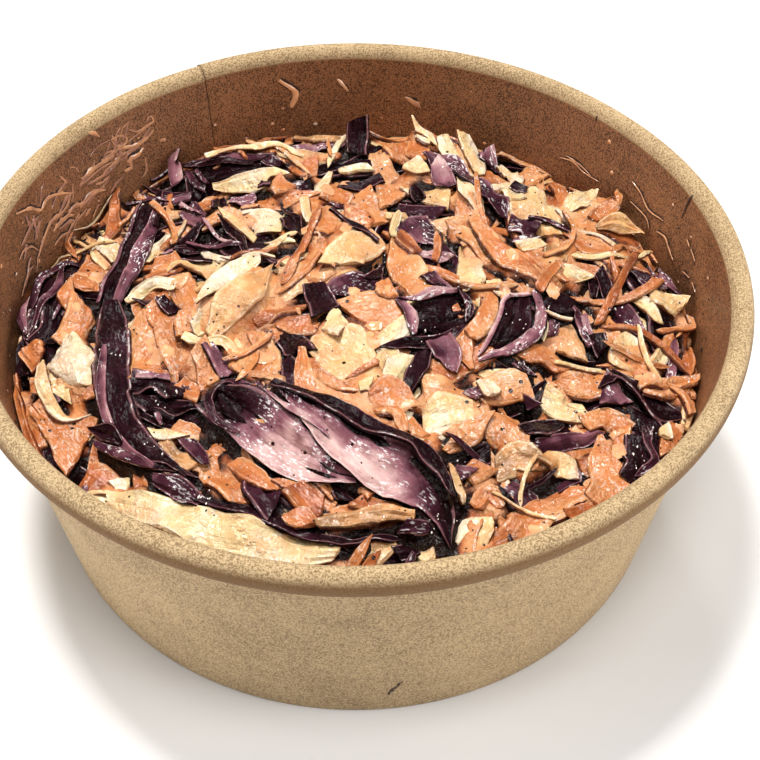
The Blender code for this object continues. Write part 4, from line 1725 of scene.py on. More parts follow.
    Shred(W, ((-30.4, 31.4), (-26, 26), (-21.6, 20)), (1.6, 2.8, 1.8), 0.5),
    Shred(W, ((-28, 14), (-22, 10.6), (-16.6, 9.4)), (0.9, 1.8, 0.8), 0.9),
    Shred(W, ((-27, 54), (-23, 55)), 2, 0.6),
    Shred(C, ((-22, 55), (-19, 56)), 2, 0.5),
    # The long violet strand down the left.
    Shred(R, ((-45, 43.5), (-46, 32), (-47.6, 20), (-48.8, 8), (-50, -2), (-50, -8)),
          (1.6, 4.6, 5.6, 5.6, 5, 3), 0.14,
          cup=0.1, pleat=0.6),
    Shred(R, ((-44.4, 36), (-44.2, 26), (-45.2, 16), (-47, 6), (-49, -2)), (0.8, 2.4, 3.4, 2.4, 1), 0.56,
          lean=-0.14,
          sink=0.1, roll=-6),
    Shred(R, ((-47.8, 38), (-49.4, 26), (-50.4, 14), (-51.6, 2)), (0.6, 0.9, 0.9, 0.7), 0.6, sink=0.1),
    Shred(R, ((-49, 2), (-47, -10), (-46, -18), (-44, -26), (-38, -36), (-29, -43.5)),
          (4, 6.4, 6.4, 6, 4.6, 2), 0.18, cup=0.1),
    Shred(R, ((-48, -12), (-47.5, -18), (-46, -27), (-41, -36), (-35, -41.5)), (1, 1.6, 1.6, 1.6, 1), 0.62),
    Shred(R, ((-49, -30), (-44, -33), (-41.5, -36)), (2, 3.8, 2), 0.2),
    Shred(R, ((-47, -34), (-41, -38), (-35, -42)), (1.2, 2, 1.4), 0.5),
    # The folded violet leaf at the front, in two lobes.
    Shred(R, ((-26, -25.5), (-20.6, -29), (-15.2, -33.6), (-9.6, -38.4), (-4.4, -42), (0.6, -44)),
          (7, 9.4, 9.4, 8.6, 7, 2.6), (0.08, 0.36, 0.80, 0.92, 0.84, 0.6), thick=0.9, cup=-0.10, pleat=0.9,
          ragged=0.04, ruffle=0.02, sink=0.0, limp=0.02, lean=-0.16, ends=(0.9, 0.5), roll=8),
    # A near-black sliver sunk under the leaf's upper end: painted shade of the hollow there.
    Shred(R, ((-24.4, -25.6), (-22.4, -28.4), (-19.4, -31.6)), (1.6, 3.4, 1.4), 0.0, sink=0.9,
          ends=(0.4, 0.3),
          edge=0.0),
    Shred(R, ((-20.4, -34), (-24.6, -31.4), (-26.4, -26.6), (-24, -22.2), (-18, -23)),
          (0.9, 1.3, 1.7, 1.5, 0.9),
          (0.6, 0.35, 0.25, 0.35, 0.55), thick=1.0, sink=0.0, limp=0.02, pleat=0.0),
    Shred(R, ((-14, -25), (-8.4, -31), (-2.6, -36), (3.6, -40.6), (10, -43.6), (15, -48.4), (17.5, -57)),
          (2.4, 6, 8, 9.4, 11, 10, 1.5), (0.3, 0.6, 0.76, 0.86, 0.72, 0.2, 0.1), thick=0.9, cup=-0.10,
          pleat=0.9,
          ragged=0.04, ruffle=0.02, sink=0.0, limp=0.02, lean=-0.30, ends=(0.2, 0.05), roll=10),
    Shred(R, ((-15, -24.6), (-8, -28.8), (-2.4, -32.4), (4, -35.8), (10.6, -38.2), (15.4, -42.4), (18, -48)),
          (1.4, 2.4, 2.6, 2.8, 3, 3, 1.4), (0.12, 0.06, 0.04, 0.04, 0.06, 0.04, 0.06), thick=0.8,
          sink=0.0, limp=0.02,
          pleat=0.2, roll=6),
    Shred(R, ((-18, -23.4), (-15.6, -26.4), (-11.8, -30.6), (-7.2, -35), (-4, -38)),
          (0.8, 1, 1.1, 1.1, 0.8), (0.7, 0.75, 0.85, 0.85, 0.75), thick=0.45, pleat=0.0, ragged=0.08,
          ruffle=0.0, limp=0.06),
    # The violet wedge and its pale leg, right of the middle.
    Shred(R, ((31.4, 1.2), (30.4, -5.5), (26.6, -11.8)), (5.6, 6.4, 2.2), 0.1, sink=0.5, pleat=0.5, edge=0.5),
    Shred(R, ((34, 2.4), (29, -0.6), (27.6, -5.6), (26, -10), (23.2, -14.6)), (0.9, 0.9, 0.8, 0.9, 0.7), 0.86,
          thick=0.8, sink=0.0),
    Shred(R, ((35, 3.4), (36.2, -1), (35.6, -5.5), (30.2, -11.7), (23.4, -15.6)),
          (1.4, 2.3, 2.6, 2.2, 0.8), 0.74,
          thick=1.2, sink=0.0),
    Shred(R, ((37.2, 1.4), (42.6, 1.2)), 4.4, 0.0, ends=(0.95, 0.95), edge=0.3),
    Shred(W, ((36.8, -1.4), (39.5, -1.8), (42.4, -2)), 0.8, 1.0, thick=0.6),
)


@dataclass(frozen=True)
class Cut:
    """The range of sizes and tones that the loose shreds of one vegetable come in."""

    kind: Vegetable
    share: float
    length: tuple[float, float]
    width: tuple[float, float]
    thick: tuple[float, float]
    tone: tuple[float, float]
    bend: float
    cup: tuple[float, float]

    def shred(self, rng: np.random.Generator, x: float, y: float, scale: float = 1.0) -> Shred:
        """A random shred.

        Args:
            rng: The random generator.
            x: Its middle, in millimetres.
            y: Its middle, in millimetres.
            scale: How much smaller than usual it is.

        Returns:
            The shred.
        """
        length = rng.uniform(*self.length) * rng.uniform(0.7, 1.1) * scale
        heading, curve = rng.uniform(0, 2 * math.pi), rng.normal(0, self.bend)
        along = np.linspace(-0.5, 0.5, 5) * length
        turn = heading + curve * along
        step = np.stack([np.cos(turn), np.sin(turn)], -1) * (length / 4)
        path = np.cumsum(step, axis=0)
        path += np.array([x, y]) - path.mean(0)
        width = (self.width[0] + (self.width[1] - self.width[0]) * rng.uniform(0, 1) ** 1.5) * scale
        tone = rng.uniform(*self.tone)
        return Shred(
            self.kind, tuple(map(tuple, path)), tuple(width * rng.uniform(0.7, 1.15, 3)), tone,
            float(np.clip(tone + rng.normal(0, 0.15), 0, 1)), thick=rng.uniform(*self.thick),
            cup=rng.uniform(*self.cup), roll=rng.normal(0, 10),
            rise=tuple(rng.uniform(0, 1, 2) ** 4 * 2.2 * scale),
        )


CUTS = (
    Cut(Vegetable.CARROT, 0.71, (16, 36), (1.6, 5.0), (1.0, 1.7), (0.2, 0.85), 0.035, (-0.03, 0.08)),
    Cut(Vegetable.RED_CABBAGE, 0.08, (12, 32), (1.2, 5.0), (0.5, 0.9), (0.0, 0.24), 0.04, (-0.10, 0.12)),
    Cut(Vegetable.WHITE_CABBAGE, 0.21, (12, 32), (1.6, 6.5), (0.8, 1.4), (0.12, 0.9), 0.035, (-0.06, 0.10)),
)

SLIVERS = (
    Cut(Vegetable.CARROT, 0.62, (8, 25), (1.0, 2.6), (0.8, 1.2), (0.3, 0.85), 0.05, (-0.02, 0.05)),
    Cut(Vegetable.RED_CABBAGE, 0.10, (7, 15), (0.8, 1.8), (0.5, 0.8), (0.0, 0.6), 0.06, (-0.05, 0.05)),
    Cut(Vegetable.WHITE_CABBAGE, 0.24, (9, 22), (0.8, 2.0), (0.6, 1.0), (0.45, 0.95), 0.05, (-0.03, 0.05)),
)


@dataclass
class SlawHeap:
    """The dressed shreds in the bowl: a low core, a bed of loose ones, and the placed ones on top."""

    bowl: BowlShape
    cell: float = 0.0005
    reach: float = 0.072
    core_drop: float = 0.0062
    core_columns: int = 500
    core_rings: int = 104
    skin_reach: int = 4
    skin_drop: float = 0.0008
    leaf_drop: float = 0.0015
    skin_tones: tuple[float, float, float] = (0.5, 0.12, 0.8)
    bed_tries: int = 1100
    bed_over: float = -1.3
    fill_tries: int = 500
    fill_over: float = -0.6
    scrap_tries: int = 60
    sliver_tries: int = 230
    rng: np.random.Generator = field(default_factory=lambda: np.random.default_rng(SEED))
    stocks: dict[Vegetable, Stock] = field(default_factory=lambda: {kind: Stock() for kind in Vegetable})

    def __post_init__(self) -> None:
        """Reads the heap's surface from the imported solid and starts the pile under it."""
        low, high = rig.box(SLAW_NODE)
        self.floor = low.z
        self.wall_level = self.bowl.inner_r(0.9 * high.z)
        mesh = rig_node(SLAW_NODE).data
        tree = BVHTree.FromPolygons([v.co[:] for v in mesh.vertices], [p.vertices[:] for p in mesh.polygons])
        coarse = Pile.over(self.reach, 0.002)
        x, y = coarse.places()
        for i, j in np.ndindex(x.shape):
            far = max(math.hypot(x[i, j], y[i, j]) / (0.97 * self.wall_level), 1.0)
            hit = tree.ray_cast(Vector((x[i, j] / far, y[i, j] / far, 1.0)), Vector((0, 0, -1)))[0]
            coarse.heights[i, j] = hit.z if hit else low.z
        self.pile = Pile.over(self.reach, self.cell)
        x, y = self.pile.places()
        self.goal = Pile(self.reach, self.cell, coarse.read(x, y))
        self.pile.heights = self._core_height(x, y)

    def _core_height(self, x: np.ndarray, y: np.ndarray) -> np.ndarray:
        """Height of the core under the loose shreds.

        Args:
            x: Places across.
            y: Places front to back.

        Returns:
            The heights.
        """
        lumps = 0.0011 * (np.sin(430 * x + 2 * np.sin(210 * y)) * np.sin(390 * y + 1.6 * np.sin(260 * x)))
        fine = 0.0005 * np.sin(1130 * x + 900 * y) * np.sin(1270 * y - 700 * x)
        return self.goal.read(x, y) - self.core_drop + lumps + fine

    def _dress(self) -> None:
        """Runs dressing into the gaps between the shreds, and gives it the tone of what lies near.

        It fills narrow gaps nearly to the shreds' tops, keeps lower beside dark leaf, and
        never stands far over the heap's goal. Its tone is painted darker as shade the deeper
        it lies below the shreds round it, and beside dark leaf.
        """
        pile = self.pile
        filled = -swell(-swell(pile.heights, self.skin_reach), self.skin_reach)
        leaf = (pile.kinds == list(Vegetable).index(Vegetable.RED_CABBAGE)).astype(float)
        beside = soften(swell(leaf, 2), 3)
        skin = soften(filled, 2) - self.skin_drop - beside * self.leaf_drop
        x, y = pile.places()
        lumps = 0.00016 * np.sin(2300 * x + 3 * np.sin(900 * y)) * np.sin(2100 * y + 2 * np.sin(1100 * x))
        skin = np.clip(skin + lumps, self._core_height(x, y), self.goal.heights + 0.0008)
        skin = np.where(leaf > 0, np.minimum(skin, pile.heights - self.skin_drop), skin)
        around = np.choose(pile.kinds + 1, (0.4,) + self.skin_tones)
        broad = -swell(-swell(pile.heights, 9), 9)
        shaded_depth = np.clip((broad - skin) / MM - 0.9, 0, None)
        # Painted shade: darker the deeper the skin lies below the shreds round it, and beside dark leaf.
        tone = soften(around, 14) + 0.04 - 0.20 * shaded_depth - 0.35 * beside
        self.skin = Pile(self.reach, self.cell, skin)
        self.skin_tone = Pile(self.reach, self.cell, tone)
        pile.heights = np.maximum(pile.heights, skin)

    def _core(self, material: bpy.types.Material) -> bpy.types.Object:
        """The core that fills the bowl under the loose shreds.

        Args:
            material: Its material.

        Returns:
            The core.
        """
        angle = np.radians(np.linspace(0, 360, self.core_columns, endpoint=False))[:, None]
        edge = self.bowl.inner_r(self.floor + 0.028) - 0.0015
        share = np.linspace(1.0, 0.006, self.core_rings)[None, :]
        x, y = edge * share * np.cos(angle), edge * share * np.sin(angle)
        top = np.stack([x, y, self.skin.read(x, y)], -1)
        rim = top[:, 0, 2]
        levels = np.linspace(0.0, 1.0, 8)[None, :-1]
        z = self.floor + 0.0003 + (rim[:, None] - self.floor) * levels
        r = np.minimum(self.bowl.inner_r(z) - 0.0012, edge)
        side = np.stack([r * np.cos(angle), r * np.sin(angle), z], -1)
        below = np.linspace(0.01, 0.98, 6)[None, :] * (self.bowl.inner_r(self.floor) - 0.0012)
        under = np.stack([below * np.cos(angle), below * np.sin(angle),
                          0 * below * angle + self.floor + 0.0003], -1)
        points = np.concatenate([under, side, top], axis=1)
        hidden = np.full((self.core_columns, under.shape[1] + side.shape[1]), 0.1)
        tone = np.concatenate([hidden, self.skin_tone.read(x, y)], axis=1)
        return grid_object("slaw_core", points, {"tone": tone}, material)

    def _settle(self, s: np.ndarray, support: np.ndarray, limp: float) -> np.ndarray:
        """The height at which a strip rests on uneven ground.

        It touches the high spots and bridges the hollows, sagging into them no faster than
        its limpness lets it.

        Args:
            s: Distance along the strip, in millimetres.
            support: The ground under it, in millimetres.
            limp: How sharply it bends, in 1/mm.

        Returns:
            The strip's height, in millimetres.
        """
        bow = limp * (s[:, None] - s[None, :]) ** 2
        over = (support[None, :] - bow).max(1)
        rest = (over[None, :] + bow).min(1)
        for _ in range(2):
            rest = np.convolve(np.pad(rest, 1, mode="edge"), (0.25, 0.5, 0.25), "valid")
        return rest

    def lay(self, shred: Shred, fineness: float = 1.0, over: float | None = None,
            spread: float = 1.0) -> bool:
        """Lays one shred on the pile.

        Args:
            shred: The shred.
            fineness: Distance between its rings, in millimetres.
            over: Refuse the shred if it would stand this far over the heap's goal, in millimetres.
            spread: How much wider to make it.

        Returns:
            Whether it was laid.
        """
        rng = self.rng
        points = np.array(shred.path, float)
        length = np.linalg.norm(np.diff(points, axis=0), axis=1).sum()
        n = int(np.clip(round(length / fineness) + 2, 5, 64))
        path = smooth_path(points, n)
        widths = np.atleast_1d(np.array(shred.width, float))
        room = self.bowl.inner_r(0.040) / MM - 0.6 - 0.35 * widths.mean()
        far = np.linalg.norm(path, axis=1)
        path *= np.minimum(1.0, room / np.maximum(far, 1e-6))[:, None]
        along = np.gradient(path, axis=0)
        along /= np.maximum(np.linalg.norm(along, axis=1), 1e-6)[:, None]
        side = np.stack([-along[:, 1], along[:, 0]], -1)
        s = np.concatenate([[0.0], np.cumsum(np.linalg.norm(np.diff(path, axis=0), axis=1))])
        t = s / s[-1]
        width = (np.interp(t, np.linspace(0, 1, len(widths)), widths) if len(widths) > 1
                 else np.full(n, widths[0]))
        ends = shred.ends or tuple(rng.choice(SQUARE_ENDS if length < 2.4 * widths.max() else SLIM_ENDS, 2))
        taper = [min(widths.max() * (1.5 - 1.1 * b), 0.45 * length) for b in ends]
        blunt = [b + (1 - b) * np.clip(d / reach, 0, 1) ** 0.8
                 for d, b, reach in zip((s, s[-1] - s), ends, taper)]
        half = spread * width / 2 * np.minimum(*blunt)
        # What lies under it: samples across, their slope and what holds the shred up.
        across = np.linspace(-0.85, 0.85, 5)
        spots = path[:, None, :] + side[:, None, :] * (across[None, :] * half[:, None])[..., None]
        ground = self.pile.read(spots[..., 0] * MM, spots[..., 1] * MM) / MM
        slope = (ground @ across) / (across @ across) / np.maximum(half, 0.3)
        softened = np.convolve(np.pad(slope, 2, mode="edge"), np.full(5, 0.2), "valid")
        slope = np.clip(softened, -0.75, 0.75) * 0.8
        slope = slope + math.tan(math.radians(shred.roll))
        support = (ground - slope[:, None] * across[None, :] * half[:, None]).max(1)
        z = self._settle(s, support, shred.limp) + shred.thick * (0.5 - shred.sink)
        z += shred.rise[0] * (1 - t) ** 2.2 + shred.rise[1] * t**2.2
        z += max(0.0, -shred.cup) * 1.6 * half.max()
        if over is not None:
            above = z + shred.thick / 2 - self.goal.read(path[:, 0] * MM, path[:, 1] * MM) / MM
            if np.mean(above) > over or above.max() > over + 3:
                return False
        spine = np.concatenate([path, z[:, None]], axis=1)
        self._sleeve(shred, spine, half, np.arctan(slope), s)
        return True

    @staticmethod
    def _section(width: float) -> tuple[np.ndarray, np.ndarray, np.ndarray, int]:
        """The points round a shred: its top from one side to the other, then its underside.

        Args:
            width: The shred's greatest width, in millimetres.

        Returns:
            Each point's place across (1 to -1), its level (0.5 on top), how near it is to a
            cut edge (below 0 on the lower sides, -1 underneath, where painted shade goes),
            and how many points make the top.
        """
        inner = 2 if width < 2.6 else 4 if width < 5.5 else 6
        flat = np.linspace(-0.66, 0.66, inner)
        low = flat if inner < 6 else flat[::2]
        across = np.concatenate([[1, 0.90], flat[::-1], [-0.90, -1, -1], low, [1]])
        level = np.concatenate([[0.15, 0.44], np.full(inner, 0.5), [0.44, 0.15, -0.4],
                                np.full(len(low), -0.5), [-0.4]])
        edge = np.concatenate([[-0.2, 0.9], np.zeros(inner), [0.9, -0.2, -0.9],
                               np.full(len(low), -1.0), [-0.9]])
        return across, level, edge, inner + 4

    def _sleeve(self, shred: Shred, spine: np.ndarray, half: np.ndarray, roll: np.ndarray,
                s: np.ndarray) -> None:
        """Wraps a shred's surface round its middle line and lifts the pile to it.

        Args:
            shred: The shred.
            spine: Its middle line, in millimetres.
            half: Half its width, point by point.
            roll: How it is tipped about its length, in radians.
            s: Distance along it.
        """
        rng = self.rng
        n = len(spine)
        forward = np.gradient(spine, axis=0)
        forward /= np.linalg.norm(forward, axis=1)[:, None]
        left = np.cross([0.0, 0.0, 1.0], forward)
        left /= np.maximum(np.linalg.norm(left, axis=1), 1e-6)[:, None]
        up = np.cross(forward, left)
        c, d = np.cos(roll)[:, None], np.sin(roll)[:, None]
        left, up = left * c + up * d, up * c - left * d
        widest = 2 * half.max()
        across, level, edge, tops = self._section(widest)
        knots = max(4, int(s[-1] / 2.2))
        thick = shred.thick * np.clip(half / half.max(), 0.45, 1.0)
        torn = [soft_noise(rng, n, knots) + 0.25 * soft_noise(rng, n, n) for _ in range(2)]
        rag = 1 + shred.ragged * np.stack(torn, -1)
        sides = np.where(across[None, :] > 0, rag[:, :1], rag[:, 1:])
        reach = sides * across[None, :] * half[:, None]
        wave = np.stack([soft_noise(rng, n, knots) for _ in range(3)], -1) * shred.ruffle * widest
        lift = np.where(across[None, :] > 0, wave[:, :1], wave[:, 1:2]) * across[None, :] ** 2
        lift += wave[:, 2:] * 0.5 * (1 - across[None, :] ** 2)
        arch = shred.cup * widest * (1 - across**2)[None, :] * (half / half.max())[:, None]
        rise = level[None, :] * thick[:, None] + lift + arch
        pleats = rng.permutation(np.linspace(-1, 1, tops - 4))[None, :]
        drift = np.stack([soft_noise(rng, n, knots) for _ in range(tops - 4)], -1)
        fit = np.clip(half / 1.5, 0, 1)[:, None]
        rise[:, 2:tops - 2] += fit * shred.pleat * (pleats + 0.5 * drift)
        t = (s / s[-1])[:, None]
        skew = rng.uniform(-0.9, 0.9, 2)
        shift = reach * (skew[0] * (1 - t) ** 3 + skew[1] * t**3)
        rings = (spine[:, None] + left[:, None] * reach[..., None] + up[:, None] * rise[..., None]
                 + forward[:, None] * shift[..., None])
        out = thick * 0.35
        middle = arch[:, 2:tops - 2].mean(1) + lift[:, 2:tops - 2].mean(1)
        tips = np.stack([spine[0] - forward[0] * out[0] + up[0] * middle[0],
                         spine[-1] + forward[-1] * out[-1] + up[-1] * middle[-1]])
        rings, tips = self._inside(rings * MM), self._inside(tips * MM)
        spread = 0.12 if shred.kind is Vegetable.RED_CABBAGE else 0.30
        lean = rng.uniform(-spread, spread) if shred.lean is None else shred.lean
        patch = np.stack([soft_noise(rng, n, knots) for _ in range(3)], -1)
        tones = np.atleast_1d(shred.tone)
        tone_count = max(len(tones), 2)
        tone = np.interp(s / s[-1], np.linspace(0, 1, tone_count), np.resize(tones, tone_count))
        tone = tone[:, None] + lean * across[None, :]
        tone = tone + 0.10 * patch[:, :1] + 0.09 * patch[:, 1:2] * across + 0.06 * patch[:, 2:] * across**2
        chance = rng.uniform(0, 60)
        strip = np.stack([s[:, None] * MM + 0 * reach, reach * MM, 0 * reach + chance], -1)
        tip_strip = np.array([[-0.001, 0, chance], [s[-1] * MM + 0.001, 0, chance]])
        marks = np.where(edge > 0, edge * shred.edge, edge)
        self.stocks[shred.kind].add_sleeve(
            rings, tips,
            np.concatenate([tone.ravel(), tones[[0, -1]]]),
            np.concatenate([np.broadcast_to(marks, (n, len(marks))).ravel(), [0.0, 0.0]]),
            np.concatenate([strip.reshape(-1, 3), tip_strip]),
        )
        # The pile rises to the top face, sampled finely enough to leave no hole in the grid.
        top = rings[:, :tops]
        cross = max(6, int(np.ceil(widest * MM / (0.8 * self.cell))))
        share = np.linspace(0, tops - 1, cross)
        low = np.minimum(share.astype(int), tops - 2)
        mix = (share - low)[None, :, None]
        wide = top[:, low] * (1 - mix) + top[:, low + 1] * mix
        steps = max(n, int(np.ceil(s[-1] * MM / (0.8 * self.cell))))
        place = np.linspace(0, n - 1, steps)
        i = np.minimum(place.astype(int), n - 2)
        mix = (place - i)[:, None, None]
        laid = (wide[i] * (1 - mix) + wide[i + 1] * mix).reshape(-1, 3)
        self.pile.raise_to(laid, list(Vegetable).index(shred.kind))

    def _inside(self, points: np.ndarray) -> np.ndarray:
        """Points kept off the bowl's wall.

        Args:
            points: Any array of points, in metres.

        Returns:
            The points, pushed in where they reached the wall.
        """
        far = np.linalg.norm(points[..., :2], axis=-1)
        room = self.bowl.inner_r(points[..., 2]) - 0.0003
        share = np.minimum(1.0, room / np.maximum(far, 1e-6))
        held = points.copy()
        held[..., :2] *= share[..., None]
        return held

    def scatter(self, tries: int, over: float, least: float, scale: float = 1.0, fineness: float = 1.9,
                clear_of_leaf: bool = False, cuts: tuple[Cut, ...] = CUTS) -> int:
        """Lays loose shreds where the pile is lowest against the heap's goal.

        Args:
            tries: How many to try.
            over: How far over the goal they may stand, in millimetres.
            least: How far under the goal the pile must be for one to be tried, in millimetres.
            scale: How much smaller than usual they are.
            fineness: Distance between their rings, in millimetres.
            clear_of_leaf: Keep them off the red cabbage.
            cuts: What they are cut like.

        Returns:
            How many were laid.
        """
        rng = self.rng
        shares = np.array([cut.share for cut in cuts])
        laid = 0
        room = self.wall_level / MM - 1.0
        for _ in range(tries):
            cut = cuts[rng.choice(len(cuts), p=shares / shares.sum())]
            r, a = room * np.sqrt(rng.uniform(0, 1, 7)), rng.uniform(0, 2 * math.pi, 7)
            x, y = r * np.cos(a), r * np.sin(a)
            need = (self.goal.read(x * MM, y * MM) - self.pile.read(x * MM, y * MM)) / MM
            best = int(np.argmax(need))
            leaf_kind = list(Vegetable).index(Vegetable.RED_CABBAGE)
            on_leaf = self.pile.kind_at(x[best] * MM, y[best] * MM) == leaf_kind
            if need[best] < least or (on_leaf and clear_of_leaf):
                continue
            laid += self.lay(cut.shred(rng, x[best], y[best], scale), fineness, over)
        return laid

    def _report(self, stage: str) -> None:
        """Logs how the pile stands against the heap's goal.

        Args:
            stage: What was laid last.
        """
        x, y = self.pile.places()
        inside = np.hypot(x, y) < self.wall_level - 0.004
        off = (self.pile.heights - self.goal.heights)[inside] / MM
        LOG.info("after the %s, pile against goal in mm: %s", stage,
                 np.percentile(off, (2, 25, 50, 75, 98)).round(1))

    def fill(self) -> None:
        """Lays all the shreds: the bed, the placed ones, what fills the gaps, and scraps."""
        bed = self.scatter(self.bed_tries, self.bed_over, -self.bed_over)
        for shred in HOLLOW_SHADE_LEAVES:
            self.lay(shred, fineness=1.6)
        for shred in PLACED:
            self.lay(shred, fineness=1.0, spread=1.12)
        self._report("placed shreds")
        gaps = self.scatter(self.fill_tries, self.fill_over, 2.2, 0.75, 1.4, clear_of_leaf=True)
        scraps = self.scatter(self.scrap_tries, 1.2, -0.4, 0.42, 0.9, clear_of_leaf=True)
        slivers = self.scatter(self.sliver_tries, 1.0, -0.6, 1.0, 1.1, clear_of_leaf=True, cuts=SLIVERS)
        LOG.info("laid %d bed, %d placed, %d in gaps, %d scraps, %d slivers",
                 bed, len(PLACED), gaps, scraps, slivers)
        self._report("scraps")

    def build(self, materials: dict[str, bpy.types.Material]) -> list[bpy.types.Object]:
        """Builds the core and all the shreds.

        Args:
            materials: The finishes by name.

        Returns:
            The pieces.
        """
        self.fill()
        self._dress()
        self._report("dressing")
        pieces = [(self._core(materials["slaw"]), "slaw")]
        for kind, stock in self.stocks.items():
            pieces.append((stock.build(kind.value, materials[kind.value]), kind.value))
        for piece, slot in pieces:
            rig.ride(piece, BODY)
            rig.replaces(piece, SLAW_NODE)
            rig.slot(piece, slot)
        return [piece for piece, _ in pieces]


# --------------------------------------------------------------------------------------
# The dressing
# --------------------------------------------------------------------------------------


@dataclass(frozen=True)
class Smear:
    """A streak of dressing that dried on the inside of the wall.

    path holds azimuths in degrees and heights in millimetres. width is in millimetres.
    """

    path: tuple[tuple[float, float], ...]
    width: float
    tone: float


# Nearly all the places in the next two tables were printed by a measuring program too.
SMEARS = (
    # Back left, where the slaw was stirred up the wall.
    Smear(((167, 53.4), (163, 51), (160.4, 48.5), (158.9, 49.2), (155.2, 47.9), (152.7, 46)), 1.0, 0.3),
    Smear(((152.7, 46), (154, 44.3), (156.3, 43.7), (158.6, 44.2), (161, 43.6), (163.4, 42.2),
          (165.5, 41)), 1.1, 0.25),
    Smear(((159.6, 41.9), (157.5, 42.3), (155, 42), (153, 42.6), (150, 41.3), (147.6, 42), (144.7, 40.8)),
          1.2, 0.25),
    Smear(((149.3, 46.8), (145.6, 47.1), (141.1, 47)), 1.5, 0.3),
    Smear(((148.6, 45.6), (145, 46), (141.6, 45.8)), 0.7, 0.2),
    Smear(((144.2, 44.6), (142, 45.1), (139.9, 45.8), (139.2, 46.8)), 1.0, 0.25),
    Smear(((140.7, 50.8), (138.8, 50.6), (137.4, 48.7), (138.5, 47.9), (140.1, 49), (140.7, 50.8)), 0.8, 0.3),
    Smear(((139.4, 48), (137.8, 47), (135.1, 46.4), (132.7, 47.1), (131.7, 48)), 1.1, 0.3),
    Smear(((136.5, 50.7), (134.6, 49.1), (132.7, 49.6), (131.3, 49.9), (131.9, 51.6), (132.7, 50.6)), 0.8,
          0.25),
    Smear(((134.5, 45), (136.1, 43.9), (137.9, 44), (137.9, 42), (139.6, 42)), 1.6, 0.35),
    Smear(((144.8, 55.2), (143.6, 54.2), (143, 53.1)), 1.3, 0.3),
    Smear(((125.5, 51.8), (123.5, 51.6), (122.2, 51.9)), 1.1, 0.3),
    Smear(((130.9, 44.8), (129.6, 44.4)), 1.5, 0.35),
    Smear(((152.1, 40.1), (154.2, 39.3), (156.2, 38.3), (157.8, 36.8)), 0.9, 0.2),
    Smear(((147, 38.6), (148.4, 37.6), (149.4, 36.4)), 0.9, 0.2),
    Smear(((149.2, 39.2), (150.8, 38.6)), 1.1, 0.25),
    Smear(((164.1, 46), (161.3, 46.6)), 0.6, 0.1),
    Smear(((160.4, 39), (158, 39.2), (155.4, 38)), 0.9, 0.2),
    Smear(((169, 45.6), (166.4, 44.4), (165, 42)), 0.7, 0.15),
    Smear(((146.4, 43.4), (144.8, 42.8), (143, 43.2)), 0.9, 0.25),
    # Back, in small crusts.
    Smear(((106, 51), (103, 47), (104, 44)), 1.6, 0.45),
    Smear(((95, 50), (93, 47)), 1.2, 0.5),
    Smear(((82, 46), (79, 44)), 1.4, 0.3),
    # Right, in thin scratches.
    Smear(((49.7, 41.8), (47, 42.4), (44.3, 41.4), (40.4, 41.4)), 0.6, 0.3),
    Smear(((48.5, 43), (45.1, 42.5), (42.4, 41.6)), 0.5, 0.3),
    Smear(((32.9, 46.9), (30.2, 45.9), (27.8, 44.2), (23, 45.1)), 0.6, 0.3),
    Smear(((32, 42.4), (29.6, 42.3), (26.9, 41.9), (25.8, 40.7)), 0.5, 0.25),
    Smear(((23.6, 41.7), (21, 42.4), (18.9, 41.2), (16.9, 40.4)), 0.6, 0.3),
    Smear(((15.2, 47.5), (14, 47)), 0.5, 0.25),
    Smear(((13.1, 47), (10.9, 46.3)), 0.5, 0.3),
    Smear(((13, 41.2), (10.6, 42.1)), 0.5, 0.25),
    Smear(((9.1, 42.3), (7.1, 42)), 0.5, 0.25),
)
# Nicks in the board's lining.
NICKS = (
    Smear(((18.1, 56), (18.4, 54.7), (18.8, 49.7)), 0.45, 1.0),
    Smear(((44.1, 55.5), (44.2, 54.2)), 0.5, 1.0),
)


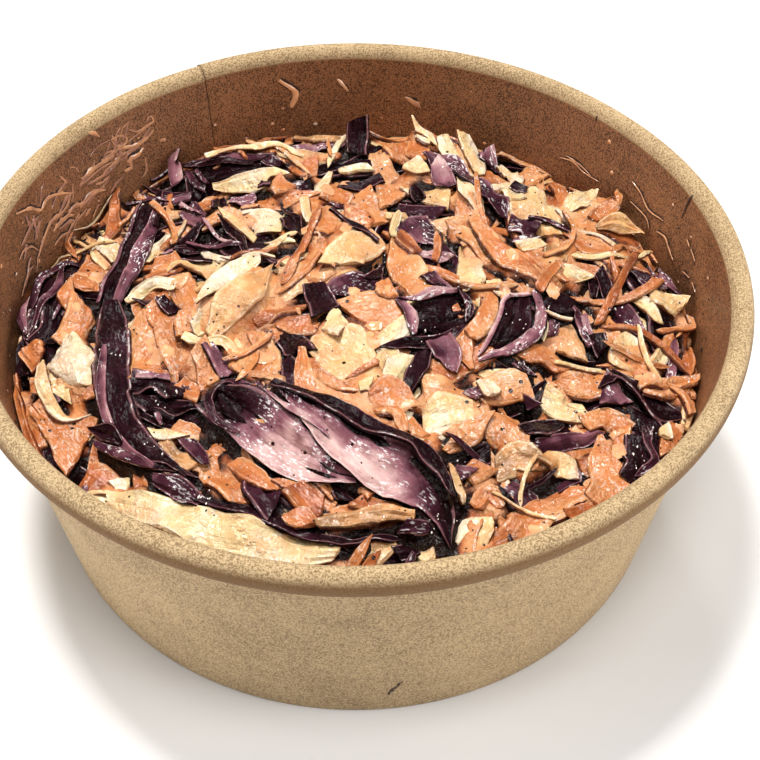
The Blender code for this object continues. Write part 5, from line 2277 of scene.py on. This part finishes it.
@dataclass
class Dressing:
    """What clings to the shreds and the wall: drops, clots, smears and grains of pepper."""

    heap: SlawHeap
    glint_cluster_count: int = 56
    glint_drop_count: int = 8
    clot_count: int = 140
    clot_tones: tuple[tuple[float, float], ...] = ((0.38, 0.55), (0.0, 0.0), (0.0, 0.0))
    squiggle_count: int = 40
    wall_bits: int = 110
    pepper_count: int = 420
    rng: np.random.Generator = field(default_factory=lambda: np.random.default_rng(SEED + 1))
    cream: Stock = field(default_factory=Stock)
    pepper: Stock = field(default_factory=Stock)

    def _spots(self, count: int) -> np.ndarray:
        """Random places over the heap.

        Args:
            count: How many.

        Returns:
            Their x and y, in metres.
        """
        rng = self.rng
        r = (self.heap.wall_level - 0.003) * np.sqrt(rng.uniform(0, 1, count))
        a = rng.uniform(0, 2 * math.pi, count)
        return np.stack([r * np.cos(a), r * np.sin(a)], -1)

    def _close(self, stock: Stock, rings: np.ndarray, tips: np.ndarray, tone: float) -> None:
        """Adds a lump of one tone.

        Args:
            stock: Where to add it.
            rings: Its rings, from below up.
            tips: Its lowest and highest points.
            tone: Its tone.
        """
        count = rings.shape[0] * rings.shape[1] + 2
        strip = np.zeros((count, 3))
        stock.add_sleeve(rings, tips, np.full(count, tone), np.zeros(count), strip)

    def _clot(self, x: float, y: float, radius: float, height: float, tone: float, sides: int = 10) -> None:
        """A pool of dressing that follows the shreds below it.

        Args:
            x: Its middle.
            y: Its middle.
            radius: Its radius.
            height: How thick it stands.
            tone: Its tone.
            sides: Points round it.
        """
        rng, pile = self.rng, self.heap.pile
        angle = np.linspace(0, 2 * math.pi, sides, endpoint=False) + rng.uniform(0, 2 * math.pi)
        stretch = 1 + 0.3 * np.cos(2 * (angle - rng.uniform(0, math.pi)))
        reach = radius * stretch * rng.uniform(0.72, 1.15, sides)
        share = np.array([0.96, 1.0, 0.82, 0.45])[:, None]
        level = np.array([-0.35, 0.1, 0.7, 0.95])[:, None] * height
        px, py = x + share * reach * np.cos(angle), y + share * reach * np.sin(angle)
        middle = float(pile.read(x, y))
        ground = np.clip(pile.read(px, py), middle - 0.9 * radius, middle + 0.5 * radius)
        rings = np.stack([px, py, ground + level], -1)
        tips = np.array([[x, y, middle - 0.35 * height], [x, y, middle + height]])
        self._close(self.cream, self.heap._inside(rings), tips, tone)

    def _bead(self, stock: Stock, point: np.ndarray, normal: np.ndarray, radius: float,
              height: float, tone: float,
              sides: int = 7, stretch: float = 0.0) -> None:
        """A drop or grain on a surface; near-white drops made with it are painted glints.

        Args:
            stock: Where to add it.
            point: Its middle on the surface.
            normal: The way it stands out.
            radius: Its radius.
            height: How far it stands out.
            tone: Its tone.
            sides: Points round it.
            stretch: How much longer than wide it is.
        """
        rng = self.rng
        one = np.cross(normal, [0.98, 0.2 * rng.normal(), 0.1])
        one /= np.linalg.norm(one)
        two = np.cross(normal, one)
        angle = np.linspace(0, 2 * math.pi, sides, endpoint=False)
        reach = radius * rng.uniform(0.8, 1.15, sides) * (1 + stretch * np.cos(angle) ** 2)
        share = np.array([0.75, 1.0, 0.7])[:, None]
        level = np.array([-0.5, 0.15, 0.8])[:, None, None] * height
        flat = ((share * reach * np.cos(angle))[..., None] * one
                + (share * reach * np.sin(angle))[..., None] * two)
        rings = point + flat + level * normal
        tips = np.array([point - 0.6 * height * normal, point + height * normal])
        self._close(stock, rings, tips, tone)

    def _on_wall(self, azimuth: float | np.ndarray, z: float | np.ndarray) -> tuple[np.ndarray, np.ndarray]:
        """A place on the wall's inner face.

        Args:
            azimuth: Its azimuth, in degrees.
            z: Its height, in metres.

        Returns:
            The point and the way in from it.
        """
        a = np.radians(azimuth)
        inward = np.stack([-np.cos(a), -np.sin(a), 0 * a], -1)
        return -inward * self.heap.bowl.inner_r(z)[..., None] + np.stack([0 * a, 0 * a, z], -1), inward

    def _streak(self, smear: Smear, stock: Stock, lift: float = 1.0) -> None:
        """A smear on the wall.

        Args:
            smear: The smear.
            stock: Where to add it.
            lift: How much of the usual height it stands out.
        """
        rng = self.rng
        knots = np.array(smear.path, float)
        round_mm = self.heap.wall_level / MM
        length = np.linalg.norm(np.diff(knots * [math.radians(round_mm), 1.0], axis=0), axis=1).sum()
        n = max(5, int(length / 0.8))
        path = smooth_path(knots, n)
        spine, inward = self._on_wall(path[:, 0], path[:, 1] * MM)
        forward = np.gradient(spine, axis=0)
        forward /= np.linalg.norm(forward, axis=1)[:, None]
        side = np.cross(inward, forward)
        across = np.array([-1.0, -0.5, 0.5, 1.0, 0.5, -0.5])
        level = np.array([0.0, 1.0, 1.0, 0.0, -0.8, -0.8])
        narrowing = np.sin(np.linspace(0.25, math.pi - 0.25, n)) ** 0.5
        half = smear.width / 2 * MM * (1 + 0.4 * soft_noise(rng, n, n)) * narrowing
        rings = (spine[:, None] + side[:, None] * (across * half[:, None])[..., None]
                 + inward[:, None] * (level * lift * (0.14 + 0.18 * smear.width) * MM)[None, :, None])
        tips = np.stack([spine[0] - forward[0] * 0.0002, spine[-1] + forward[-1] * 0.0002])
        self._close(stock, rings, tips, smear.tone)

    def _smear(self, smear: Smear) -> None:
        """A smear on the wall with a dark line under it: painted shadow.

        Args:
            smear: The smear.
        """
        # Painted shadow: a wider, flatter dark streak under the smear.
        self._streak(Smear(smear.path, smear.width + 0.7, 1.0), self.pepper, 0.2)
        self._streak(smear, self.cream, 0.8)

    def _mark_wall(self) -> None:
        """Squiggles at the back left, the listed smears and nicks, and specks of dressing and pepper."""
        rng = self.rng
        for smear in SMEARS:
            self._smear(smear)
        for nick in NICKS:
            self._streak(nick, self.pepper, 0.3)
        for _ in range(self.squiggle_count):
            azimuth = rng.uniform(136, 176)
            z = rng.uniform(38, 52 - 0.12 * abs(azimuth - 150))
            turn, path = rng.normal(2.6, 0.45), [(azimuth, z)]
            for _ in range(int(rng.integers(2, 5))):
                turn += rng.normal(0, 0.35)
                azimuth += 1.8 * math.cos(turn)
                z = float(np.clip(z + 1.2 * math.sin(turn), 38.5, 53))
                path.append((azimuth, z))
            self._smear(Smear(tuple(path), rng.uniform(0.5, 1.1), rng.uniform(0.0, 0.25)))
        for _ in range(self.wall_bits):
            azimuth = rng.uniform(0, 360)
            z = (38 + 14 * rng.uniform(0, 1) ** 2.2) * MM
            point, inward = self._on_wall(np.array(azimuth), np.array(z))
            radius = rng.uniform(0.12, 0.55) * MM
            if rng.uniform() < 0.4:
                self._bead(self.pepper, point, inward, radius * 0.7, radius * 0.5, 0.5, 5)
            else:
                self._bead(self.cream, point, inward, radius, radius * 0.35, rng.uniform(0.1, 0.8))

    def build(self, materials: dict[str, bpy.types.Material]) -> list[bpy.types.Object]:
        """Builds the dressing and the pepper.

        Args:
            materials: The finishes by name.

        Returns:
            The pieces.
        """
        rng, pile = self.rng, self.heap.pile
        tones = dict(enumerate(self.clot_tones))
        for x, y in self._spots(self.clot_count):
            low, high = tones.get(pile.kind_at(x, y), (0.0, 0.0))
            if high:
                radius = rng.uniform(0.6, 2.4) * MM
                self._clot(x, y, radius, 0.16 * MM + 0.07 * radius, rng.uniform(low, high))
        # Clusters of tiny near-white drops, drawn long: dressing drops painted as glints.
        for place in self._spots(self.glint_cluster_count):
            for x, y in place + rng.normal(0, 1.3 * MM, (self.glint_drop_count, 2)):
                radius = rng.uniform(0.05, 0.13) * MM
                point = np.array([x, y, float(pile.read(x, y))])
                self._bead(self.cream, point, np.array([0, 0, 1.0]), radius, radius * 0.8, 1.0, 6,
                           rng.uniform(0.5, 3))
        for x, y in self._spots(self.pepper_count):
            radius = rng.uniform(0.10, 0.26) * MM
            point = np.array([x, y, float(pile.read(x, y))])
            self._bead(self.pepper, point, np.array([0, 0, 1.0]), radius, radius * 0.8, rng.uniform(0, 1), 5)
        self._mark_wall()
        pieces = [(self.cream.build("dressing_drops", materials["dressing"]), "dressing"),
                  (self.pepper.build("pepper_and_stains", materials["pepper"]), "dressing")]
        for piece, slot in pieces:
            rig.ride(piece, BODY)
            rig.replaces(piece, SLAW_NODE)
            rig.slot(piece, slot)
        return [piece for piece, _ in pieces]


# --------------------------------------------------------------------------------------
# The studio
# --------------------------------------------------------------------------------------


@dataclass(frozen=True)
class Lamp:
    """A square soft light: where it hangs, its side in metres, its power in watts, its colour."""

    name: str
    place: tuple[float, float, float]
    size: float
    power: float
    colour: Colour = (1, 1, 1)


LAMPS = (
    Lamp("key", (-0.30, 0.40, 1.80), 0.28, 29.5, (1.0, 0.98, 0.95)),
    Lamp("top", (0.10, -0.46, 1.86), 0.55, 15.0, (1.0, 0.985, 0.965)),
    Lamp("back", (0.12, 1.30, 1.40), 0.15, 3.5),
    Lamp("left", (-1.60, -0.25, 0.50), 0.80, 13.0),
    Lamp("right", (1.60, -0.25, 0.50), 0.80, 17.0),
)


@dataclass(frozen=True)
class Studio:
    """A plain pale floor, soft light, and a camera that looks down into the bowl."""

    elevation: float = 46.5
    distance: float = 0.262
    aim: tuple[float, float, float] = (0.0048, -0.0157, 0.040)
    tilt: float = 0.95
    lens: float = 64.7
    sensor: float = 36.0
    floor_size: float = 4.0
    lamp_aim: tuple[float, float, float] = (0, 0, 0.04)
    world_strength: float = 0.10

    def _camera(self) -> None:
        """Places the camera."""
        angle = math.radians(self.elevation)
        back = Vector((0.0, -math.cos(angle), math.sin(angle)))
        right = Vector((1.0, 0.0, 0.0))
        up = back.cross(right)
        turn = math.radians(self.tilt)
        across = right * math.cos(turn) + up * math.sin(turn)
        above = up * math.cos(turn) - right * math.sin(turn)
        data = bpy.data.cameras.new("camera")
        data.lens, data.sensor_width = self.lens, self.sensor
        camera = bpy.data.objects.new("camera", data)
        place = Matrix((across, above, back)).transposed().to_4x4()
        place.translation = Vector(self.aim) + back * self.distance
        camera.matrix_world = place
        bpy.context.scene.collection.objects.link(camera)
        bpy.context.scene.camera = camera

    def _light(self, lamp: Lamp) -> None:
        """Hangs a lamp that faces the bowl.

        Args:
            lamp: The lamp.
        """
        data = bpy.data.lights.new(lamp.name, "AREA")
        data.size, data.energy, data.color = lamp.size, lamp.power, lamp.colour
        light = bpy.data.objects.new(lamp.name, data)
        light.location = lamp.place
        aim = Vector(self.lamp_aim) - Vector(lamp.place)
        light.rotation_euler = aim.to_track_quat("-Z", "Y").to_euler()
        bpy.context.scene.collection.objects.link(light)

    def _floor(self) -> None:
        """The floor, with a faint unevenness in its paint."""
        half = self.floor_size / 2
        mesh = bpy.data.meshes.new("floor")
        corners = [(-half, -half, 0), (half, -half, 0), (half, half, 0), (-half, half, 0)]
        mesh.from_pydata(corners, [], [(0, 1, 2, 3)])
        made, g, shader = new_material("floor_paint")
        shade = g.noise(g.node("TexCoord").outputs["Object"], 3.0)
        g.feed(shader.inputs["Base Color"], g.mix(shade, (0.86, 0.86, 0.86), (0.90, 0.90, 0.90)))
        shader.inputs["Roughness"].default_value = 0.6
        mesh.materials.append(made)
        floor = bpy.data.objects.new("floor", mesh)
        bpy.context.scene.collection.objects.link(floor)
        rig.stage(floor)

    def build(self) -> None:
        """Builds the floor, the lights, the world and the camera."""
        scene = bpy.context.scene
        world = bpy.data.worlds.new("studio")
        world.use_nodes = True
        world.node_tree.nodes["Background"].inputs["Color"].default_value = (1.0, 1.0, 1.0, 1.0)
        world.node_tree.nodes["Background"].inputs["Strength"].default_value = self.world_strength
        scene.world = world
        scene.view_settings.view_transform = "Standard"
        self._floor()
        for lamp in LAMPS:
            self._light(lamp)
        self._camera()


# --------------------------------------------------------------------------------------
# Putting it together
# --------------------------------------------------------------------------------------


def clear_scene() -> None:
    """Removes whatever objects the file starts with."""
    for obj in list(bpy.data.objects):
        bpy.data.objects.remove(obj, do_unlink=True)


def main() -> None:
    """Builds the bowl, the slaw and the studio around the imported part."""
    clear_scene()
    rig.load()
    cad_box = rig.bounds()
    effects = Effects()
    kraft = KraftFinish().build(effects)
    finishes = (CARROT, RED_CABBAGE, WHITE_CABBAGE, DRESSING, PEPPER, SLAW_CORE)
    materials = {finish.name: finish.build(effects) for finish in finishes}
    shape = BowlShape.from_frame()
    heap = SlawHeap(shape)
    pieces = KraftBowl(shape).build(kraft) + heap.build(materials) + Dressing(heap).build(materials)
    for piece in pieces:
        LOG.info("%s: %d faces", piece.name, len(piece.data.polygons))
    Studio().build()
    with open(SIZE_FILE, "w", encoding="utf-8") as file:
        json.dump({"cad": [list(map(float, c)) for c in cad_box],
                   "visual": [list(map(float, c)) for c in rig.bounds()]}, file)


if __name__ == "__main__":
    logging.basicConfig(level=logging.INFO)
    main()
